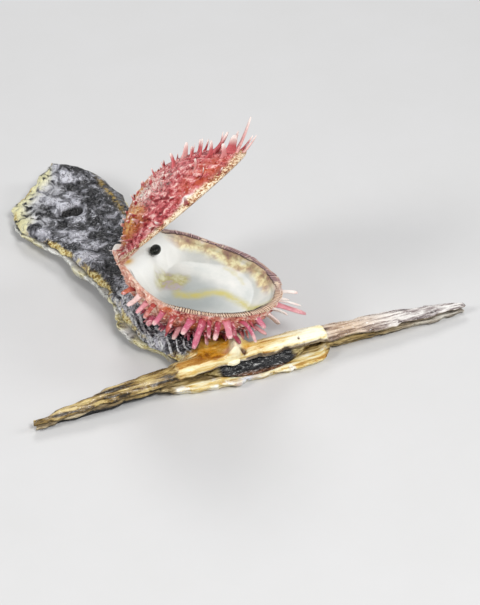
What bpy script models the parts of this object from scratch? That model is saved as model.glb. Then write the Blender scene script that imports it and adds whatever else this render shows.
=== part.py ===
"""A spiny oyster that grew on a hammer oyster, with its upper valve standing open.

The hammer oyster is the T-shaped shell underneath: two thin valves, one on the other, with a straight
hinge bar and a long body. The spiny oyster's deep lower valve is cemented to it beside the hinge.
Metres, +Z up. X runs along the hinge bar and +Y along the hammer oyster's body. The origin is on the
surface that the shells lie on, below the middle of the whole.
"""

import math

import bmesh
import bpy
import numpy as np

MM = 0.001
GAP = 0.4 * MM  # room between shells that touch

# Where the middle of the hinge bar lies, so that the origin is below the middle of the whole
HINGE_X = -17.5 * MM
HINGE_Y = -75.4 * MM

# Hammer oyster, seen from above. X and Y are counted from the middle of its hinge.
LEFT_ARM = 83 * MM
RIGHT_ARM = 118 * MM
BAR_FRONT = 5.6 * MM  # half of the bar's width on the hinge side
BAR_BACK = 4.0 * MM  # and on the body's side
BAR_BOW = 4.0 * MM
NECK_LEFT = -11 * MM
NECK_RIGHT = 17 * MM
BODY_LEFT_EDGE = ((-11, 4), (-20, 19), (-26, 37), (-26, 57), (-30, 80), (-35, 101), (-45, 124), (-44, 143))
BODY_RIGHT_EDGE = ((17, 4), (13, 26), (11, 52), (9, 80), (8, 108), (7, 132), (1, 152), (-16, 163))
HINGE_LIP = 6.5 * MM  # how far the lower valve's hinge stands out past the upper valve's
HINGE_LIP_AT = 14 * MM
HINGE_LIP_HALF = 38 * MM

# Hammer oyster, heights. The seam is where its two valves meet.
SEAM_AT_TIPS = 3.0 * MM
SEAM_ARCH = 3.4 * MM
BODY_SEAM = (6.4, 7.4, 8.4, 8.6, 8.0, 6.6, 5.4, 6.0, 11.0)
BODY_LENGTH = 165 * MM
EDGE_THICK = 1.5 * MM
UPPER_THICK = 3.6 * MM
LOWER_THICK = 5.0 * MM
EDGE_ROUNDING = 2.6 * MM
RIDGE_WAVE = 0.9 * MM
LEDGE_AT = 52 * MM  # where the pale outer layer of the right arm breaks off
LEDGE_STEP = 1.3 * MM
KNOB_HEIGHT = 4.5 * MM
KNOB_AT = (14 * MM, 3 * MM)
PIT_AT = (-22 * MM, 128 * MM)
LIGAMENT_AT = 18 * MM
LIGAMENT_HALF = 25 * MM

# Spiny oyster. Its valves are ovals cut straight along the hinge, leaning to one side.
HALF_WIDTH = 34.0 * MM
HINGE_TO_MIDDLE = 32.0 * MM
LOWER_HALF_LENGTH = 38.0 * MM
UPPER_HALF_LENGTH = 41.5 * MM
EAR = 2.0 * MM
LEAN = 8.0 * MM
BEAK = 9.0 * MM  # how far the lower valve reaches behind the hinge
LOWER_DEPTH = 22.0 * MM
BOWL_DEPTH = 14.0 * MM
WALL = 2.6 * MM
RIM_WIDTH = 0.075  # as a share of the valve's radius
UPPER_CURL = 0.95  # how far the upper valve curls about its hinge as it grows
UPPER_INNER_CURL = 0.78
RIB_COUNT = 30
RIB_HEIGHT = 0.7 * MM

# The dark ligament pad: its middle along the hinge and from the hinge line, its middle's depth, its half sizes
PAD_AT = (-4.4 * MM, 7.8 * MM)
PAD_DEPTH = 1.25 * MM
PAD_HALF = (3.2 * MM, 2.2 * MM, 1.7 * MM)
PIT_DEPTH = 2.4 * MM

# Where the spiny oyster's hinge lies, counted from the hammer oyster's hinge, and how it is turned
SPINY_HINGE = (-12 * MM, 61 * MM, 31.5 * MM)
HINGE_LINE = (-0.67, -0.712, 0.211)
TO_LOWER_LIPS = (0.720, -0.686, -0.105)
TO_UPPER_LIPS = (0.609, -0.335, 0.719)

# Spines: degrees round the rim from the lips, place from the middle (0) to the rim (1), length, width in mm
LOWER_SPINES = (
    (132, 0.93, 6, 2.8), (120, 0.95, 7, 2.4), (110, 0.93, 9, 2.4), (101, 0.95, 8, 2.4), (92, 0.93, 11, 2.6),
    (83, 0.95, 8, 2.4), (74, 0.92, 10, 2.8), (65, 0.94, 15, 3.0), (56, 0.92, 11, 2.6), (47, 0.95, 12, 2.8),
    (38, 0.92, 9, 2.6), (30, 0.95, 12, 2.2), (21, 0.92, 8, 2.4), (12, 0.95, 8, 2.4), (3, 0.92, 10, 2.4),
    (-6, 0.95, 9, 2.4), (-14, 0.92, 15, 2.8), (-22, 0.95, 9, 2.2), (-31, 0.93, 10, 2.2), (-41, 0.95, 8, 2.4),
    (-52, 0.92, 9, 2.6), (-64, 0.95, 8, 2.4), (-77, 0.92, 9, 2.6), (-91, 0.95, 7, 2.4), (-106, 0.92, 8, 2.6),
    (-121, 0.95, 6, 2.4), (104, 0.82, 6, 3.0), (80, 0.80, 7, 3.0), (58, 0.79, 8, 3.0), (34, 0.80, 8, 3.0),
    (8, 0.80, 8, 3.0), (-22, 0.80, 8, 3.0), (-52, 0.80, 7, 3.0), (-85, 0.80, 6, 3.0),
)
UPPER_SPINES = (
    (0, 0.67, 5, 2.2), (-9, 0.71, 7, 2.4), (3, 0.76, 5, 2.0), (-7, 0.80, 8, 2.4), (6, 0.86, 7, 2.2),
    (-4, 0.90, 9, 2.6), (-10, 0.95, 15, 2.8), (-28, 0.97, 9, 2.2),
)


def through(points, t):
    """A smooth cubic curve through evenly counted points, read at t from 0 to 1."""
    p = np.array(points, float)
    p = p.reshape(len(p), -1)
    p = np.vstack([2 * p[0] - p[1], p, 2 * p[-1] - p[-2]])
    s = np.clip(t, 0, 1) * (len(p) - 3)
    i = np.minimum(s.astype(int), len(p) - 4)
    f = (s - i)[..., None]
    a, b, c, d = p[i], p[i + 1], p[i + 2], p[i + 3]
    bend = (2 * a - 5 * b + 4 * c - d) * f**2 + (3 * b - a - 3 * c + d) * f**3
    return 0.5 * (2 * b + (c - a) * f + bend)


def bump(distance, spread):
    """A smooth hump, 1 in its middle."""
    return np.exp(-((distance / spread) ** 2))


def ease(t):
    """0 up to 0, 1 from 1 on, smooth between."""
    t = np.clip(t, 0, 1)
    return t * t * (3 - 2 * t)


def points_of(mesh):
    flat = np.empty(len(mesh.vertices) * 3)
    mesh.vertices.foreach_get("co", flat)
    return flat.reshape(-1, 3)


def set_points(mesh, points):
    mesh.vertices.foreach_set("co", points.ravel())
    mesh.update()


# Hammer oyster


def along_arm(x):
    """0 at the middle of the hinge, 1 at the tip of either arm."""
    return np.clip(np.where(x < 0, -x / LEFT_ARM, x / RIGHT_ARM), 0, 1)


def bar_taper(x):
    """How wide the bar still is: the left arm runs to a point, and the right arm ends bluntly."""
    q = along_arm(x)
    return np.maximum(np.where(x < 0, (1 - q**2.2) ** 0.75, (1 - q**4) ** 0.5), 0.22)


def lip_reach(x):
    """1 along the lip of the lower valve's hinge, 0 beyond its ends."""
    return np.exp(-(((x - HINGE_LIP_AT) / HINGE_LIP_HALF) ** 6))


def hammer_sheet(lip):
    """The valve's outline as a flat sheet of quads: a long grid for the bar and one for the body."""
    arm_cuts, neck_cuts, bar_cuts, body_cuts = 14, 6, 4, 18
    last = 2 * arm_cuts + neck_cuts
    sheet = bmesh.new()
    bar = bmesh.ops.create_grid(sheet, x_segments=last, y_segments=bar_cuts, size=1)
    for vert in bar["verts"]:
        step = (vert.co.x + 1) / 2 * last
        ends = (-LEFT_ARM, NECK_LEFT, NECK_RIGHT, RIGHT_ARM)
        x = float(np.interp(step, (0, arm_cuts, arm_cuts + neck_cuts, last), ends))
        taper = float(bar_taper(np.array(x)))
        front = BAR_FRONT * taper + lip * float(lip_reach(x))
        bow = BAR_BOW * float(along_arm(np.array(x))) ** 2.5
        vert.co = (x, -front - bow + (front + BAR_BACK * taper) * (vert.co.y + 1) / 2, 0)
    body = bmesh.ops.create_grid(sheet, x_segments=neck_cuts, y_segments=body_cuts, size=1)
    for vert in body["verts"]:
        along = np.array((vert.co.y + 1) / 2)
        across = (vert.co.x + 1) / 2
        left = through(BODY_LEFT_EDGE, along) * MM
        right = through(BODY_RIGHT_EDGE, along) * MM
        at = left + (right - left) * across
        vert.co = (at[0], at[1], 0)
    bmesh.ops.remove_doubles(sheet, verts=sheet.verts, dist=0.6 * MM)
    return sheet


def outline_of(sheet):
    """The sheet's open edges, as an array of segments."""
    open_edges = [edge for edge in sheet.edges if edge.is_boundary]
    return np.array([[tuple(v.co.xy) for v in edge.verts] for edge in open_edges])


def distance_to(outline, x, y):
    """How far each point is from the nearest edge of the outline."""
    p = np.stack([x, y], axis=-1)[:, None, :]
    a, b = outline[None, :, 0], outline[None, :, 1]
    along = ((p - a) * (b - a)).sum(-1) / ((b - a) ** 2).sum(-1)
    near = a + np.clip(along, 0, 1)[..., None] * (b - a)
    return np.sqrt(((p - near) ** 2).sum(-1)).min(axis=1)


def seam_height(x, y):
    """Where the two valves meet: an arch along the bar, and a long wave up the body."""
    bar = SEAM_AT_TIPS + SEAM_ARCH * (1 - along_arm(x) ** 2)
    body = through(BODY_SEAM, y / BODY_LENGTH)[..., 0] * MM
    share = ease((y - BAR_BACK) / (14 * MM))
    wave = 1.0 * MM * np.sin(x / (9 * MM) + y / (17 * MM)) * share
    return bar * (1 - share) + body * share + wave


def hinge_hollow(x, y):
    """How far each valve is arched on the hinge side to hold the ligament, 0 to 1."""
    return lip_reach(x) * ease((3 * MM - y) / (9 * MM))


def bed_height(x, y):
    """The height that the upper valve's surface nowhere passes under the spiny oyster."""
    return seam_height(x, y) + EDGE_THICK + UPPER_THICK + RIDGE_WAVE + 0.8 * MM


def upper_top(x, y, edge):
    """The hammer oyster's upper face: growth ridges, the knob at the hinge, the ledge and a pit."""
    z = seam_height(x, y) + GAP / 2 + EDGE_THICK + UPPER_THICK * (1 - np.exp(-edge / EDGE_ROUNDING))
    inside = 1 - np.exp(-edge / (3 * MM))
    z += RIDGE_WAVE * np.sin(y / (4.6 * MM) + 2.2 * np.sin(x / (15 * MM))) * inside * (y > BAR_BACK)
    z += KNOB_HEIGHT * bump(x - KNOB_AT[0], 4.5 * MM) * bump(y - KNOB_AT[1], 6 * MM)
    pale = (x > NECK_LEFT - 6 * MM) & (x < LEDGE_AT) & (y < BAR_BACK + 2 * MM)
    z += np.where(pale, LEDGE_STEP, 0) + 1.6 * MM * hinge_hollow(x, y)
    return z - 3.0 * MM * bump(x - PIT_AT[0], 6 * MM) * bump(y - PIT_AT[1], 3.5 * MM)


def upper_underside(x, y, edge=None):
    return seam_height(x, y) + GAP / 2 + 1.6 * MM * hinge_hollow(x, y)


def lower_topside(x, y, edge=None):
    return seam_height(x, y) - GAP / 2 - 2.6 * MM * hinge_hollow(x, y)


def lower_bottom(x, y, edge):
    """The hammer oyster's underside, worn flat where it rests."""
    z = lower_topside(x, y) - EDGE_THICK - LOWER_THICK * (1 - np.exp(-edge / EDGE_ROUNDING))
    return np.maximum(z, 0)


def object_from(name, mesh, colour, roughness):
    """A named object in the model's collection, with its own plain material."""
    mesh.name = name
    obj = bpy.data.objects.new(name, mesh)
    parts.objects.link(obj)
    obj.parent = hinge_point
    material = bpy.data.materials.new(name)
    material.use_nodes = True
    shader = material.node_tree.nodes["Principled BSDF"]
    shader.inputs["Base Color"].default_value = (*colour, 1)
    shader.inputs["Roughness"].default_value = roughness
    mesh.materials.clear()
    mesh.materials.append(material)
    return obj


def slab_from(sheet, name):
    """The flat sheet given an even thickness of 1 mm by Solidify, upwards."""
    mesh = bpy.data.meshes.new(name)
    sheet.to_mesh(mesh)
    obj = bpy.data.objects.new(name, mesh)
    parts.objects.link(obj)
    solidify = obj.modifiers.new("Solidify", "SOLIDIFY")
    solidify.thickness = MM
    solidify.offset = 1
    bpy.context.view_layer.update()
    graph = bpy.context.evaluated_depsgraph_get()
    slab = bpy.data.meshes.new_from_object(obj.evaluated_get(graph))
    bpy.data.objects.remove(obj)
    return slab


def layer_between(sheet, name, top, bottom):
    """A slab of the sheet's outline, whose upper and lower faces are then given their heights."""
    outline = outline_of(sheet)
    mesh = slab_from(sheet, name)
    sheet.free()
    points = points_of(mesh)
    x, y = points[:, 0], points[:, 1]
    edge = distance_to(outline, x, y)
    points[:, 2] = np.where(points[:, 2] > 0.5 * MM, top(x, y, edge), bottom(x, y, edge))
    set_points(mesh, points)
    return mesh


def ligament_sheet():
    """A lens seen from above, between the hinges of the hammer oyster's two valves."""
    sheet = bmesh.new()
    grid = bmesh.ops.create_grid(sheet, x_segments=14, y_segments=4, size=1)
    for vert in grid["verts"]:
        x = LIGAMENT_AT + LIGAMENT_HALF * vert.co.x
        reach = max(1 - vert.co.x**2, 0.12)
        front = -3.0 * MM - 8.0 * MM * reach
        vert.co = (x, front + (-1.5 * MM - front) * (vert.co.y + 1) / 2, 0)
    return sheet


def ligament_top(x, y, edge):
    """Under the upper valve it fills the hollow. In front it slopes down to the lip."""
    inside = upper_underside(x, y) - 0.9 * MM
    out = np.clip(-BAR_FRONT + 0.6 * MM - y, 0, None)
    slope = inside - 0.62 * out - 0.3 * MM * (out > 0)
    low = lower_topside(x, y) + 0.35 * MM
    return np.maximum(slope, low + 0.35 * MM)


def ligament_bottom(x, y, edge):
    return lower_topside(x, y) + 0.35 * MM


# Spiny oyster


def unit(vector):
    return np.array(vector) / np.linalg.norm(vector)


def valve_frame(to_lips):
    """Unit vectors of a valve's plane: along the hinge, from the hinge to the lips, and upward."""
    across = unit(HINGE_LINE)
    lips = unit(np.array(to_lips) - np.dot(to_lips, across) * across)
    return across, lips, np.cross(across, lips)


def oval(angle, half_length):
    """From the valve's middle to its rim. Angle 0 points to the lips, and the hinge cuts the other end."""
    s, c = np.sin(angle), np.cos(angle)
    radius = 1 / np.sqrt((s / HALF_WIDTH) ** 2 + (c / half_length) ** 2)
    radius = radius + EAR * bump(np.abs(angle) - 2.68, 0.13)
    return np.minimum(radius, HINGE_TO_MIDDLE / np.maximum(-c, 1e-3))


def rim_point(angle, half_length):
    """Plan position of the rim: a along the hinge, v from the hinge line towards the lips."""
    radius = oval(angle, half_length)
    v = HINGE_TO_MIDDLE + radius * np.cos(angle)
    a = radius * np.sin(angle) + LEAN * ease(v / HINGE_TO_MIDDLE)
    return a, v


def cup_outside(angle, share):
    """Lower valve: a deep cup about its middle, with the beak behind the hinge."""
    radius = oval(angle, LOWER_HALF_LENGTH) * share
    v = HINGE_TO_MIDDLE + radius * np.cos(angle)
    a = radius * np.sin(angle) + LEAN * ease(v / HINGE_TO_MIDDLE)
    back = ease((-np.cos(angle) - 0.80) / 0.16) * bump(share - 0.88, 0.10)
    d = 0.8 * MM * ease((1 - share) * 14) + LOWER_DEPTH * np.clip(1 - share**2.6, 0, 1) ** 0.75
    d = d - 4.5 * MM * back
    v = v - BEAK * back
    wave = RIB_HEIGHT * np.cos(angle * RIB_COUNT) * ease((share - 0.5) / 0.4) * (1 - back)
    return a + wave * np.sin(angle), v + wave * np.cos(angle), d


def cup_inside(angle, share):
    """Lower valve: a broad rim, the flat plate at the hinge with the ligament's pit, and the bowl."""
    radius = oval(angle, LOWER_HALF_LENGTH) * share
    v = HINGE_TO_MIDDLE + radius * np.cos(angle)
    a = radius * np.sin(angle) + LEAN * ease(v / HINGE_TO_MIDDLE)
    inner = np.clip(share / (1 - RIM_WIDTH), 0, 1)
    d = BOWL_DEPTH * np.clip(1 - inner**3.0, 0, 1) ** 0.8 * ease((v - 3 * MM) / (15 * MM))
    d = d + 0.5 * MM * ease((1 - share) / RIM_WIDTH)
    d = d + PIT_DEPTH * bump(a - PAD_AT[0], 5 * MM) * bump(v - PAD_AT[1], 4.5 * MM)
    return a, v, d


def hood(angle, share, half_length, curl, inset, start):
    """Upper valve: the rim shrunk towards the beak and curled about the hinge, as it grew."""
    a, v = rim_point(angle, half_length - inset)
    a = a * (1 - inset / HALF_WIDTH)
    v = np.maximum(v, inset * 0.8)
    curled = ease((v - inset) / (9 * MM)) * curl * (1 - share)
    v0, d0 = start
    dv, dd = v - v0, -d0
    out_v = v0 + share * (dv * np.cos(curled) - dd * np.sin(curled))
    out_d = d0 + share * (dv * np.sin(curled) + dd * np.cos(curled))
    return a * share, out_v, out_d


def hood_outside(angle, share):
    a, v, d = hood(angle, share, UPPER_HALF_LENGTH, UPPER_CURL, 0.0, (-1.5 * MM, 2.0 * MM))
    return a, v, d + 0.6 * MM * ease((1 - share) * 12)


def hood_inside(angle, share):
    start = (4.0 * MM, 1.0 * MM)
    return hood(angle, share, UPPER_HALF_LENGTH, UPPER_INNER_CURL, 2.2 * MM, start)


def placed(avd, to_lips, side, lift):
    """From the valve's own measures to the object: side is -1 for the lower valve and 1 for the upper."""
    across, lips, normal = valve_frame(to_lips)
    a, v, d = avd
    origin = np.array(SPINY_HINGE) + lift * valve_frame(TO_LOWER_LIPS)[2]
    return origin + a[:, None] * across + v[:, None] * lips + side * d[:, None] * normal


def ball_measures(points):
    """Angle round the ball, and share: 0 at its poles and 1 at its equator."""
    angle = np.arctan2(points[:, 0], points[:, 1])
    return angle, 1 - np.abs(np.arcsin(np.clip(points[:, 2], -1, 1))) / (math.pi / 2)


def unit_ball(name, segments, rings):
    mesh = bpy.data.meshes.new(name)
    ball = bmesh.new()
    bmesh.ops.create_uvsphere(ball, u_segments=segments, v_segments=rings, radius=1)
    ball.to_mesh(mesh)
    ball.free()
    return mesh


def cup_points(p):
    """The lower valve. Its underside is spread on the hammer oyster where it is cemented."""
    angle, share = ball_measures(p)
    outside = placed(cup_outside(angle, share), TO_LOWER_LIPS, -1, 0)
    bed = bed_height(outside[:, 0], outside[:, 1]) + GAP
    outside[:, 2] = np.maximum(outside[:, 2], bed)
    inside = placed(cup_inside(angle, share), TO_LOWER_LIPS, -1, 0)
    inside[:, 2] = np.maximum(inside[:, 2], bed + WALL)
    return np.where(p[:, 2:] < -1e-6, outside, inside)


def hood_points(p):
    angle, share = ball_measures(p)
    outside = placed(hood_outside(angle, share), TO_UPPER_LIPS, 1, 0.9 * MM)
    inside = placed(hood_inside(angle, share), TO_UPPER_LIPS, 1, 0.9 * MM)
    return np.where(p[:, 2:] < -1e-6, outside, inside)


def grow_spines(mesh, places):
    """Draws each spine out of the face nearest its place, in three narrowing steps that bend."""
    skin = bmesh.new()
    skin.from_mesh(mesh)
    faces = list(skin.faces)
    skin.faces.index_update()
    centres = np.array([face.calc_center_median() for face in faces])
    normals = np.array([face.normal for face in faces])
    around = [{near.index for edge in face.edges for near in edge.link_faces} for face in faces]
    taken = set()
    for at, direction, length, width in places:
        reach = unit(direction)
        cost = ((centres - at) ** 2).sum(axis=1) + (normals @ reach < 0.2)
        index = next(int(i) for i in np.argsort(cost) if int(i) not in taken)
        taken |= around[index]
        face = faces[index]
        base = centres[index]
        for step, size in ((0.25, 1.0), (0.65, 0.8), (1.0, 0.45)):
            face = bmesh.ops.extrude_discrete_faces(skin, faces=[face])["faces"][0]
            way = unit(normals[index] * (1 - step) + reach * (0.4 + step))
            spread = np.array([np.array(vert.co) for vert in face.verts])
            spread = spread - spread.mean(axis=0)
            spread = spread * (width * size / 2 / np.linalg.norm(spread, axis=1).mean())
            for vert, off in zip(face.verts, spread):
                vert.co = base + way * length * step + off
    skin.to_mesh(mesh)
    skin.free()


def lower_spine_places(spines):
    for degrees, share, length, width in spines:
        angle, share = np.array([math.radians(degrees)]), np.array([share])
        at = placed(cup_outside(angle, share), TO_LOWER_LIPS, -1, 0)[0]
        across, lips, normal = valve_frame(TO_LOWER_LIPS)
        way = angle[0] + 0.7 * float(bump(degrees - 45, 35))
        out = across * math.sin(way) + lips * math.cos(way)
        yield at, out - normal * (0.15 + 0.5 * float(ease(degrees / 50))), length * MM, width * MM


def upper_spine_places(spines):
    across, lips, normal = valve_frame(TO_UPPER_LIPS)
    for degrees, share, length, width in spines:
        angle, share = np.array([math.radians(degrees)]), np.array([share])
        here = placed(hood_outside(angle, share), TO_UPPER_LIPS, 1, 0.9 * MM)[0]
        on = placed(hood_outside(angle, share + 0.03), TO_UPPER_LIPS, 1, 0.9 * MM)[0]
        side = placed(hood_outside(angle + 0.05, share), TO_UPPER_LIPS, 1, 0.9 * MM)[0]
        growth = unit(on - here)
        out = unit(np.cross(side - here, growth))
        if np.dot(out, normal) < 0:
            out = -out
        yield here, out + growth * 0.55, length * MM, width * MM


def upper_spines():
    """The tall spines of the crest, then rows of short ones on every other rib, longer towards the lips."""
    yield from UPPER_SPINES
    for rib in range(-8, 9):
        degrees = rib * 17 + 6 * math.sin(rib * 2.1)
        for row in range(5):
            share = 0.40 + 0.14 * row + 0.05 * math.sin(rib * 3.7 + row)
            length = 1.5 + 5.5 * share**3 * (1.2 + math.sin(rib * 5.3 + row * 2.7))
            if abs(degrees) > 128 or (abs(degrees + 5) < 12 and share > 0.62):
                continue
            yield degrees, min(share, 0.97), length, 2.4


for old in list(bpy.data.objects):
    bpy.data.objects.remove(old)
parts = bpy.data.collections.new("spiny_oyster_on_hammer_oyster")
bpy.context.scene.collection.children.link(parts)
hinge_point = bpy.data.objects.new("hinge_point", None)
hinge_point.location = (HINGE_X, HINGE_Y, 0)
parts.objects.link(hinge_point)

mesh = layer_between(hammer_sheet(0), "hammer_oyster_upper_valve", upper_top, upper_underside)
object_from("hammer_oyster_upper_valve", mesh, (0.16, 0.16, 0.17), 0.6)
mesh = layer_between(hammer_sheet(HINGE_LIP), "hammer_oyster_lower_valve", lower_topside, lower_bottom)
object_from("hammer_oyster_lower_valve", mesh, (0.38, 0.33, 0.24), 0.6)
mesh = layer_between(ligament_sheet(), "hammer_oyster_ligament", ligament_top, ligament_bottom)
object_from("hammer_oyster_ligament", mesh, (0.03, 0.025, 0.02), 0.5)

mesh = unit_ball("spiny_oyster_lower_valve", 48, 24)
set_points(mesh, cup_points(points_of(mesh)))
grow_spines(mesh, lower_spine_places(LOWER_SPINES))
object_from("spiny_oyster_lower_valve", mesh, (0.83, 0.62, 0.58), 0.4)

mesh = unit_ball("spiny_oyster_upper_valve", 48, 26)
set_points(mesh, hood_points(points_of(mesh)))
mesh.flip_normals()
grow_spines(mesh, upper_spine_places(upper_spines()))
object_from("spiny_oyster_upper_valve", mesh, (0.72, 0.25, 0.22), 0.5)

mesh = unit_ball("spiny_oyster_ligament", 12, 8)
ball = points_of(mesh)
pad_a = PAD_AT[0] + PAD_HALF[0] * ball[:, 0]
pad_v = PAD_AT[1] + PAD_HALF[1] * ball[:, 1]
pad_depth = PAD_DEPTH - PAD_HALF[2] * ball[:, 2]
set_points(mesh, placed((pad_a, pad_v, pad_depth), TO_LOWER_LIPS, -1, 0))
object_from("spiny_oyster_ligament", mesh, (0.02, 0.02, 0.02), 0.35)
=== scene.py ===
"""The looks of a spiny oyster that grew on a hammer oyster, with its upper valve standing open.

Lengths are in millimetres until a mesh is made. Places on the shells are counted from the middle of the
hammer oyster's hinge: x along its hinge bar, y up its body, and z from the surface that it lies on.
"""

import math

import bpy
import numpy as np
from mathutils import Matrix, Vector


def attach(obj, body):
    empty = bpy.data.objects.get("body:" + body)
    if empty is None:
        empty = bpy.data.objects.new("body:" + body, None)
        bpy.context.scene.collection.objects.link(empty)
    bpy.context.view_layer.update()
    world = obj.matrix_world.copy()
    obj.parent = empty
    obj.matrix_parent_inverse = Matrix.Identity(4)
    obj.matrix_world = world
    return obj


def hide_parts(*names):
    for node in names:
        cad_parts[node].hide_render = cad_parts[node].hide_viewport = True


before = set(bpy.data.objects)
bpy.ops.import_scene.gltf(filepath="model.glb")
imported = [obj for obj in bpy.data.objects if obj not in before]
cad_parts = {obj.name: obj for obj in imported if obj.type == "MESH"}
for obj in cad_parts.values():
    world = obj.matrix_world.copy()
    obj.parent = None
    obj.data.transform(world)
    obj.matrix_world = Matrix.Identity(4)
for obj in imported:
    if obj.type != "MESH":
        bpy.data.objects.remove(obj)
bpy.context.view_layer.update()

# Hammer oyster, lower valve
# The lower of two thin T-shaped valves that lie one on the other: a long hinge bar and a body, made of
# flaking grey layers over pale ones. Its pale hinge lip stands out in front, and it is worn flat below.

MM = 0.001
HINGE_PLACE = (-17.5, -75.4, 0.0)
GAP = 0.4

LEFT_ARM = 83
RIGHT_ARM = 118
BAR_FRONT = 5.6
BAR_BACK = 4.0
BAR_BOW = 4.0
NECK_LEFT = -11
NECK_RIGHT = 17
BODY_LEFT_EDGE = ((-11, 4), (-20, 19), (-26, 37), (-26, 57), (-30, 80), (-35, 101), (-45, 124), (-44, 143))
BODY_RIGHT_EDGE = ((17, 4), (13, 26), (11, 52), (9, 80), (8, 108), (7, 132), (1, 152), (-16, 163))
BODY_LENGTH = 165
LEFT_ARM_STEPS = 140
NECK_STEPS = 54
RIGHT_ARM_STEPS = 196
BAR_STEPS = 26
BODY_STEPS = 300

SEAM_AT_TIPS = 3.0
SEAM_ARCH = 3.4
BODY_SEAM = (6.4, 7.4, 8.4, 8.6, 8.0, 6.6, 5.4, 6.0, 11.0)
EDGE_THICK = 1.5
LOWER_THICK = 5.0
EDGE_ROUNDING = 2.6
WALL_STEPS = 4
WALL_BULGE = 0.45

LOWER_HOLLOW = 2.6
UPPER_HOLLOW = 1.6
HINGE_LIP = 6.5
HINGE_LIP_AT = 13.5
HINGE_LIP_HALF = 36
TIP_FORK = 0.9
TIP_FORK_FROM = 92
FLAPS = ((86, 9, 4.2), (35, 9, 4.2), (66, 7, 2.6), (119, 10, 2.4))


def through(points, t):
    """A smooth cubic curve through evenly counted points, read at t from 0 to 1."""
    p = np.array(points, float)
    p = p.reshape(len(p), -1)
    p = np.vstack([2 * p[0] - p[1], p, 2 * p[-1] - p[-2]])
    s = np.clip(t, 0, 1) * (len(p) - 3)
    i = np.minimum(s.astype(int), len(p) - 4)
    f = (s - i)[..., None]
    a, b, c, d = p[i], p[i + 1], p[i + 2], p[i + 3]
    bend = (2 * a - 5 * b + 4 * c - d) * f**2 + (3 * b - a - 3 * c + d) * f**3
    return 0.5 * (2 * b + (c - a) * f + bend)


def bump(distance, spread):
    """A smooth hump: e to the power of minus the square of distance over spread."""
    return np.exp(-((distance / spread) ** 2))


def ease(t):
    """0 up to 0, 1 from 1 on, and the cubic 3tt - 2ttt between."""
    t = np.clip(t, 0, 1)
    return t * t * (3 - 2 * t)


def lattice(x, y, z, seed):
    """Smooth noise from -1 to 1: a scrambled number at each corner of a unit lattice, blended by ease."""
    at = np.stack(np.broadcast_arrays(x, y, z), axis=-1)
    cell = np.floor(at).astype(np.int64)
    part = ease(at - cell)
    total = 0
    for corner in np.ndindex(2, 2, 2):
        i, j, k = np.moveaxis(cell + corner, -1, 0)
        mixed = (i * 73856093) ^ (j * 19349663) ^ (k * 83492791) ^ (seed * 40503)
        mixed = (mixed ^ (mixed >> 13)) * 60493 & 0xFFFFFFF
        mixed = (mixed ^ (mixed >> 11)) * 15731 & 0xFFFFFFF
        weight = np.prod(np.where(corner, part, 1 - part), axis=-1)
        total = total + weight * ((mixed >> 8 & 0xFFFF) / 32767.5 - 1)
    return total


def rough(x, y, z, size, seed, layers=4):
    """Lattice noise of this size, plus half as much at half the size, and so on."""
    layer_sizes = [size / 2**n for n in range(layers)]
    return sum(lattice(x / s, y / s, z / s, seed + n) / 2**n for n, s in enumerate(layer_sizes))


def along_arm(x):
    """0 at the middle of the hinge, 1 at the tip of either arm."""
    return np.clip(np.where(x < 0, -x / LEFT_ARM, x / RIGHT_ARM), 0, 1)


def bar_taper(x):
    """How wide the bar still is: the left arm runs to a point, and the right arm ends bluntly."""
    q = along_arm(x)
    return np.maximum(np.where(x < 0, (1 - q**2.2) ** 0.75, (1 - q**4) ** 0.5), 0.22)


def lip_reach(x):
    """Nearly 1 along the lip of the lower valve's hinge, less to its left, 0 past its broken ends."""
    whole = np.exp(-(((x - HINGE_LIP_AT) / HINGE_LIP_HALF) ** 24))
    return whole * (0.45 + 0.55 * ease((x + 26) / 34))


def quads_of(index, ring=False):
    """The quads of a grid of point numbers, counterclockwise where its columns run right and its rows up.

    With ring, its last column joins its first again."""
    if ring:
        index = np.hstack([index, index[:, :1]])
    corners = (index[:-1, :-1], index[:-1, 1:], index[1:, 1:], index[1:, :-1])
    return np.stack(corners, axis=-1).reshape(-1, 4)


def hammer_plan(lip):
    """A flat T: x from tip to tip and y from the bar's front to its back, then the body's left-to-right rows.

    The body's first row is the bar's own. Returns x, y, the quads, and the outline counterclockwise."""
    cuts = np.cumsum((0, LEFT_ARM_STEPS, NECK_STEPS, RIGHT_ARM_STEPS))
    x = np.interp(np.arange(cuts[-1] + 1), cuts, (-LEFT_ARM, NECK_LEFT, NECK_RIGHT, RIGHT_ARM))
    front = BAR_FRONT * bar_taper(x) + lip * lip_reach(x)
    bow = BAR_BOW * along_arm(x) ** 2.5
    across = np.linspace(0, 1, BAR_STEPS + 1)[:, None]
    bar_y = -front - bow + (front + BAR_BACK * bar_taper(x)) * across
    bar_x = np.broadcast_to(x, bar_y.shape)
    along = np.linspace(0, 1, BODY_STEPS + 1)[1:]
    left, right = through(BODY_LEFT_EDGE, along), through(BODY_RIGHT_EDGE, along)
    body = left[:, None] + (right - left)[:, None] * np.linspace(0, 1, NECK_STEPS + 1)[:, None]
    bar = np.arange(bar_y.size).reshape(bar_y.shape)
    neck = bar[-1, cuts[1] : cuts[2] + 1]
    rows = np.vstack([neck, bar.size + np.arange(body[..., 0].size).reshape(body.shape[:2])])
    quads = np.concatenate([quads_of(bar), quads_of(rows)])
    right_side = (bar[0], bar[1:, -1], bar[-1, cuts[2] : -1][::-1], rows[1:, -1], rows[-1, :-1][::-1])
    left_side = (rows[1:-1, 0][::-1], bar[-1, : cuts[1] + 1][::-1], bar[1:-1, 0][::-1])
    outline = np.concatenate(right_side + left_side)
    return np.append(bar_x, body[..., 0]), np.append(bar_y, body[..., 1]), quads, outline


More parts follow.
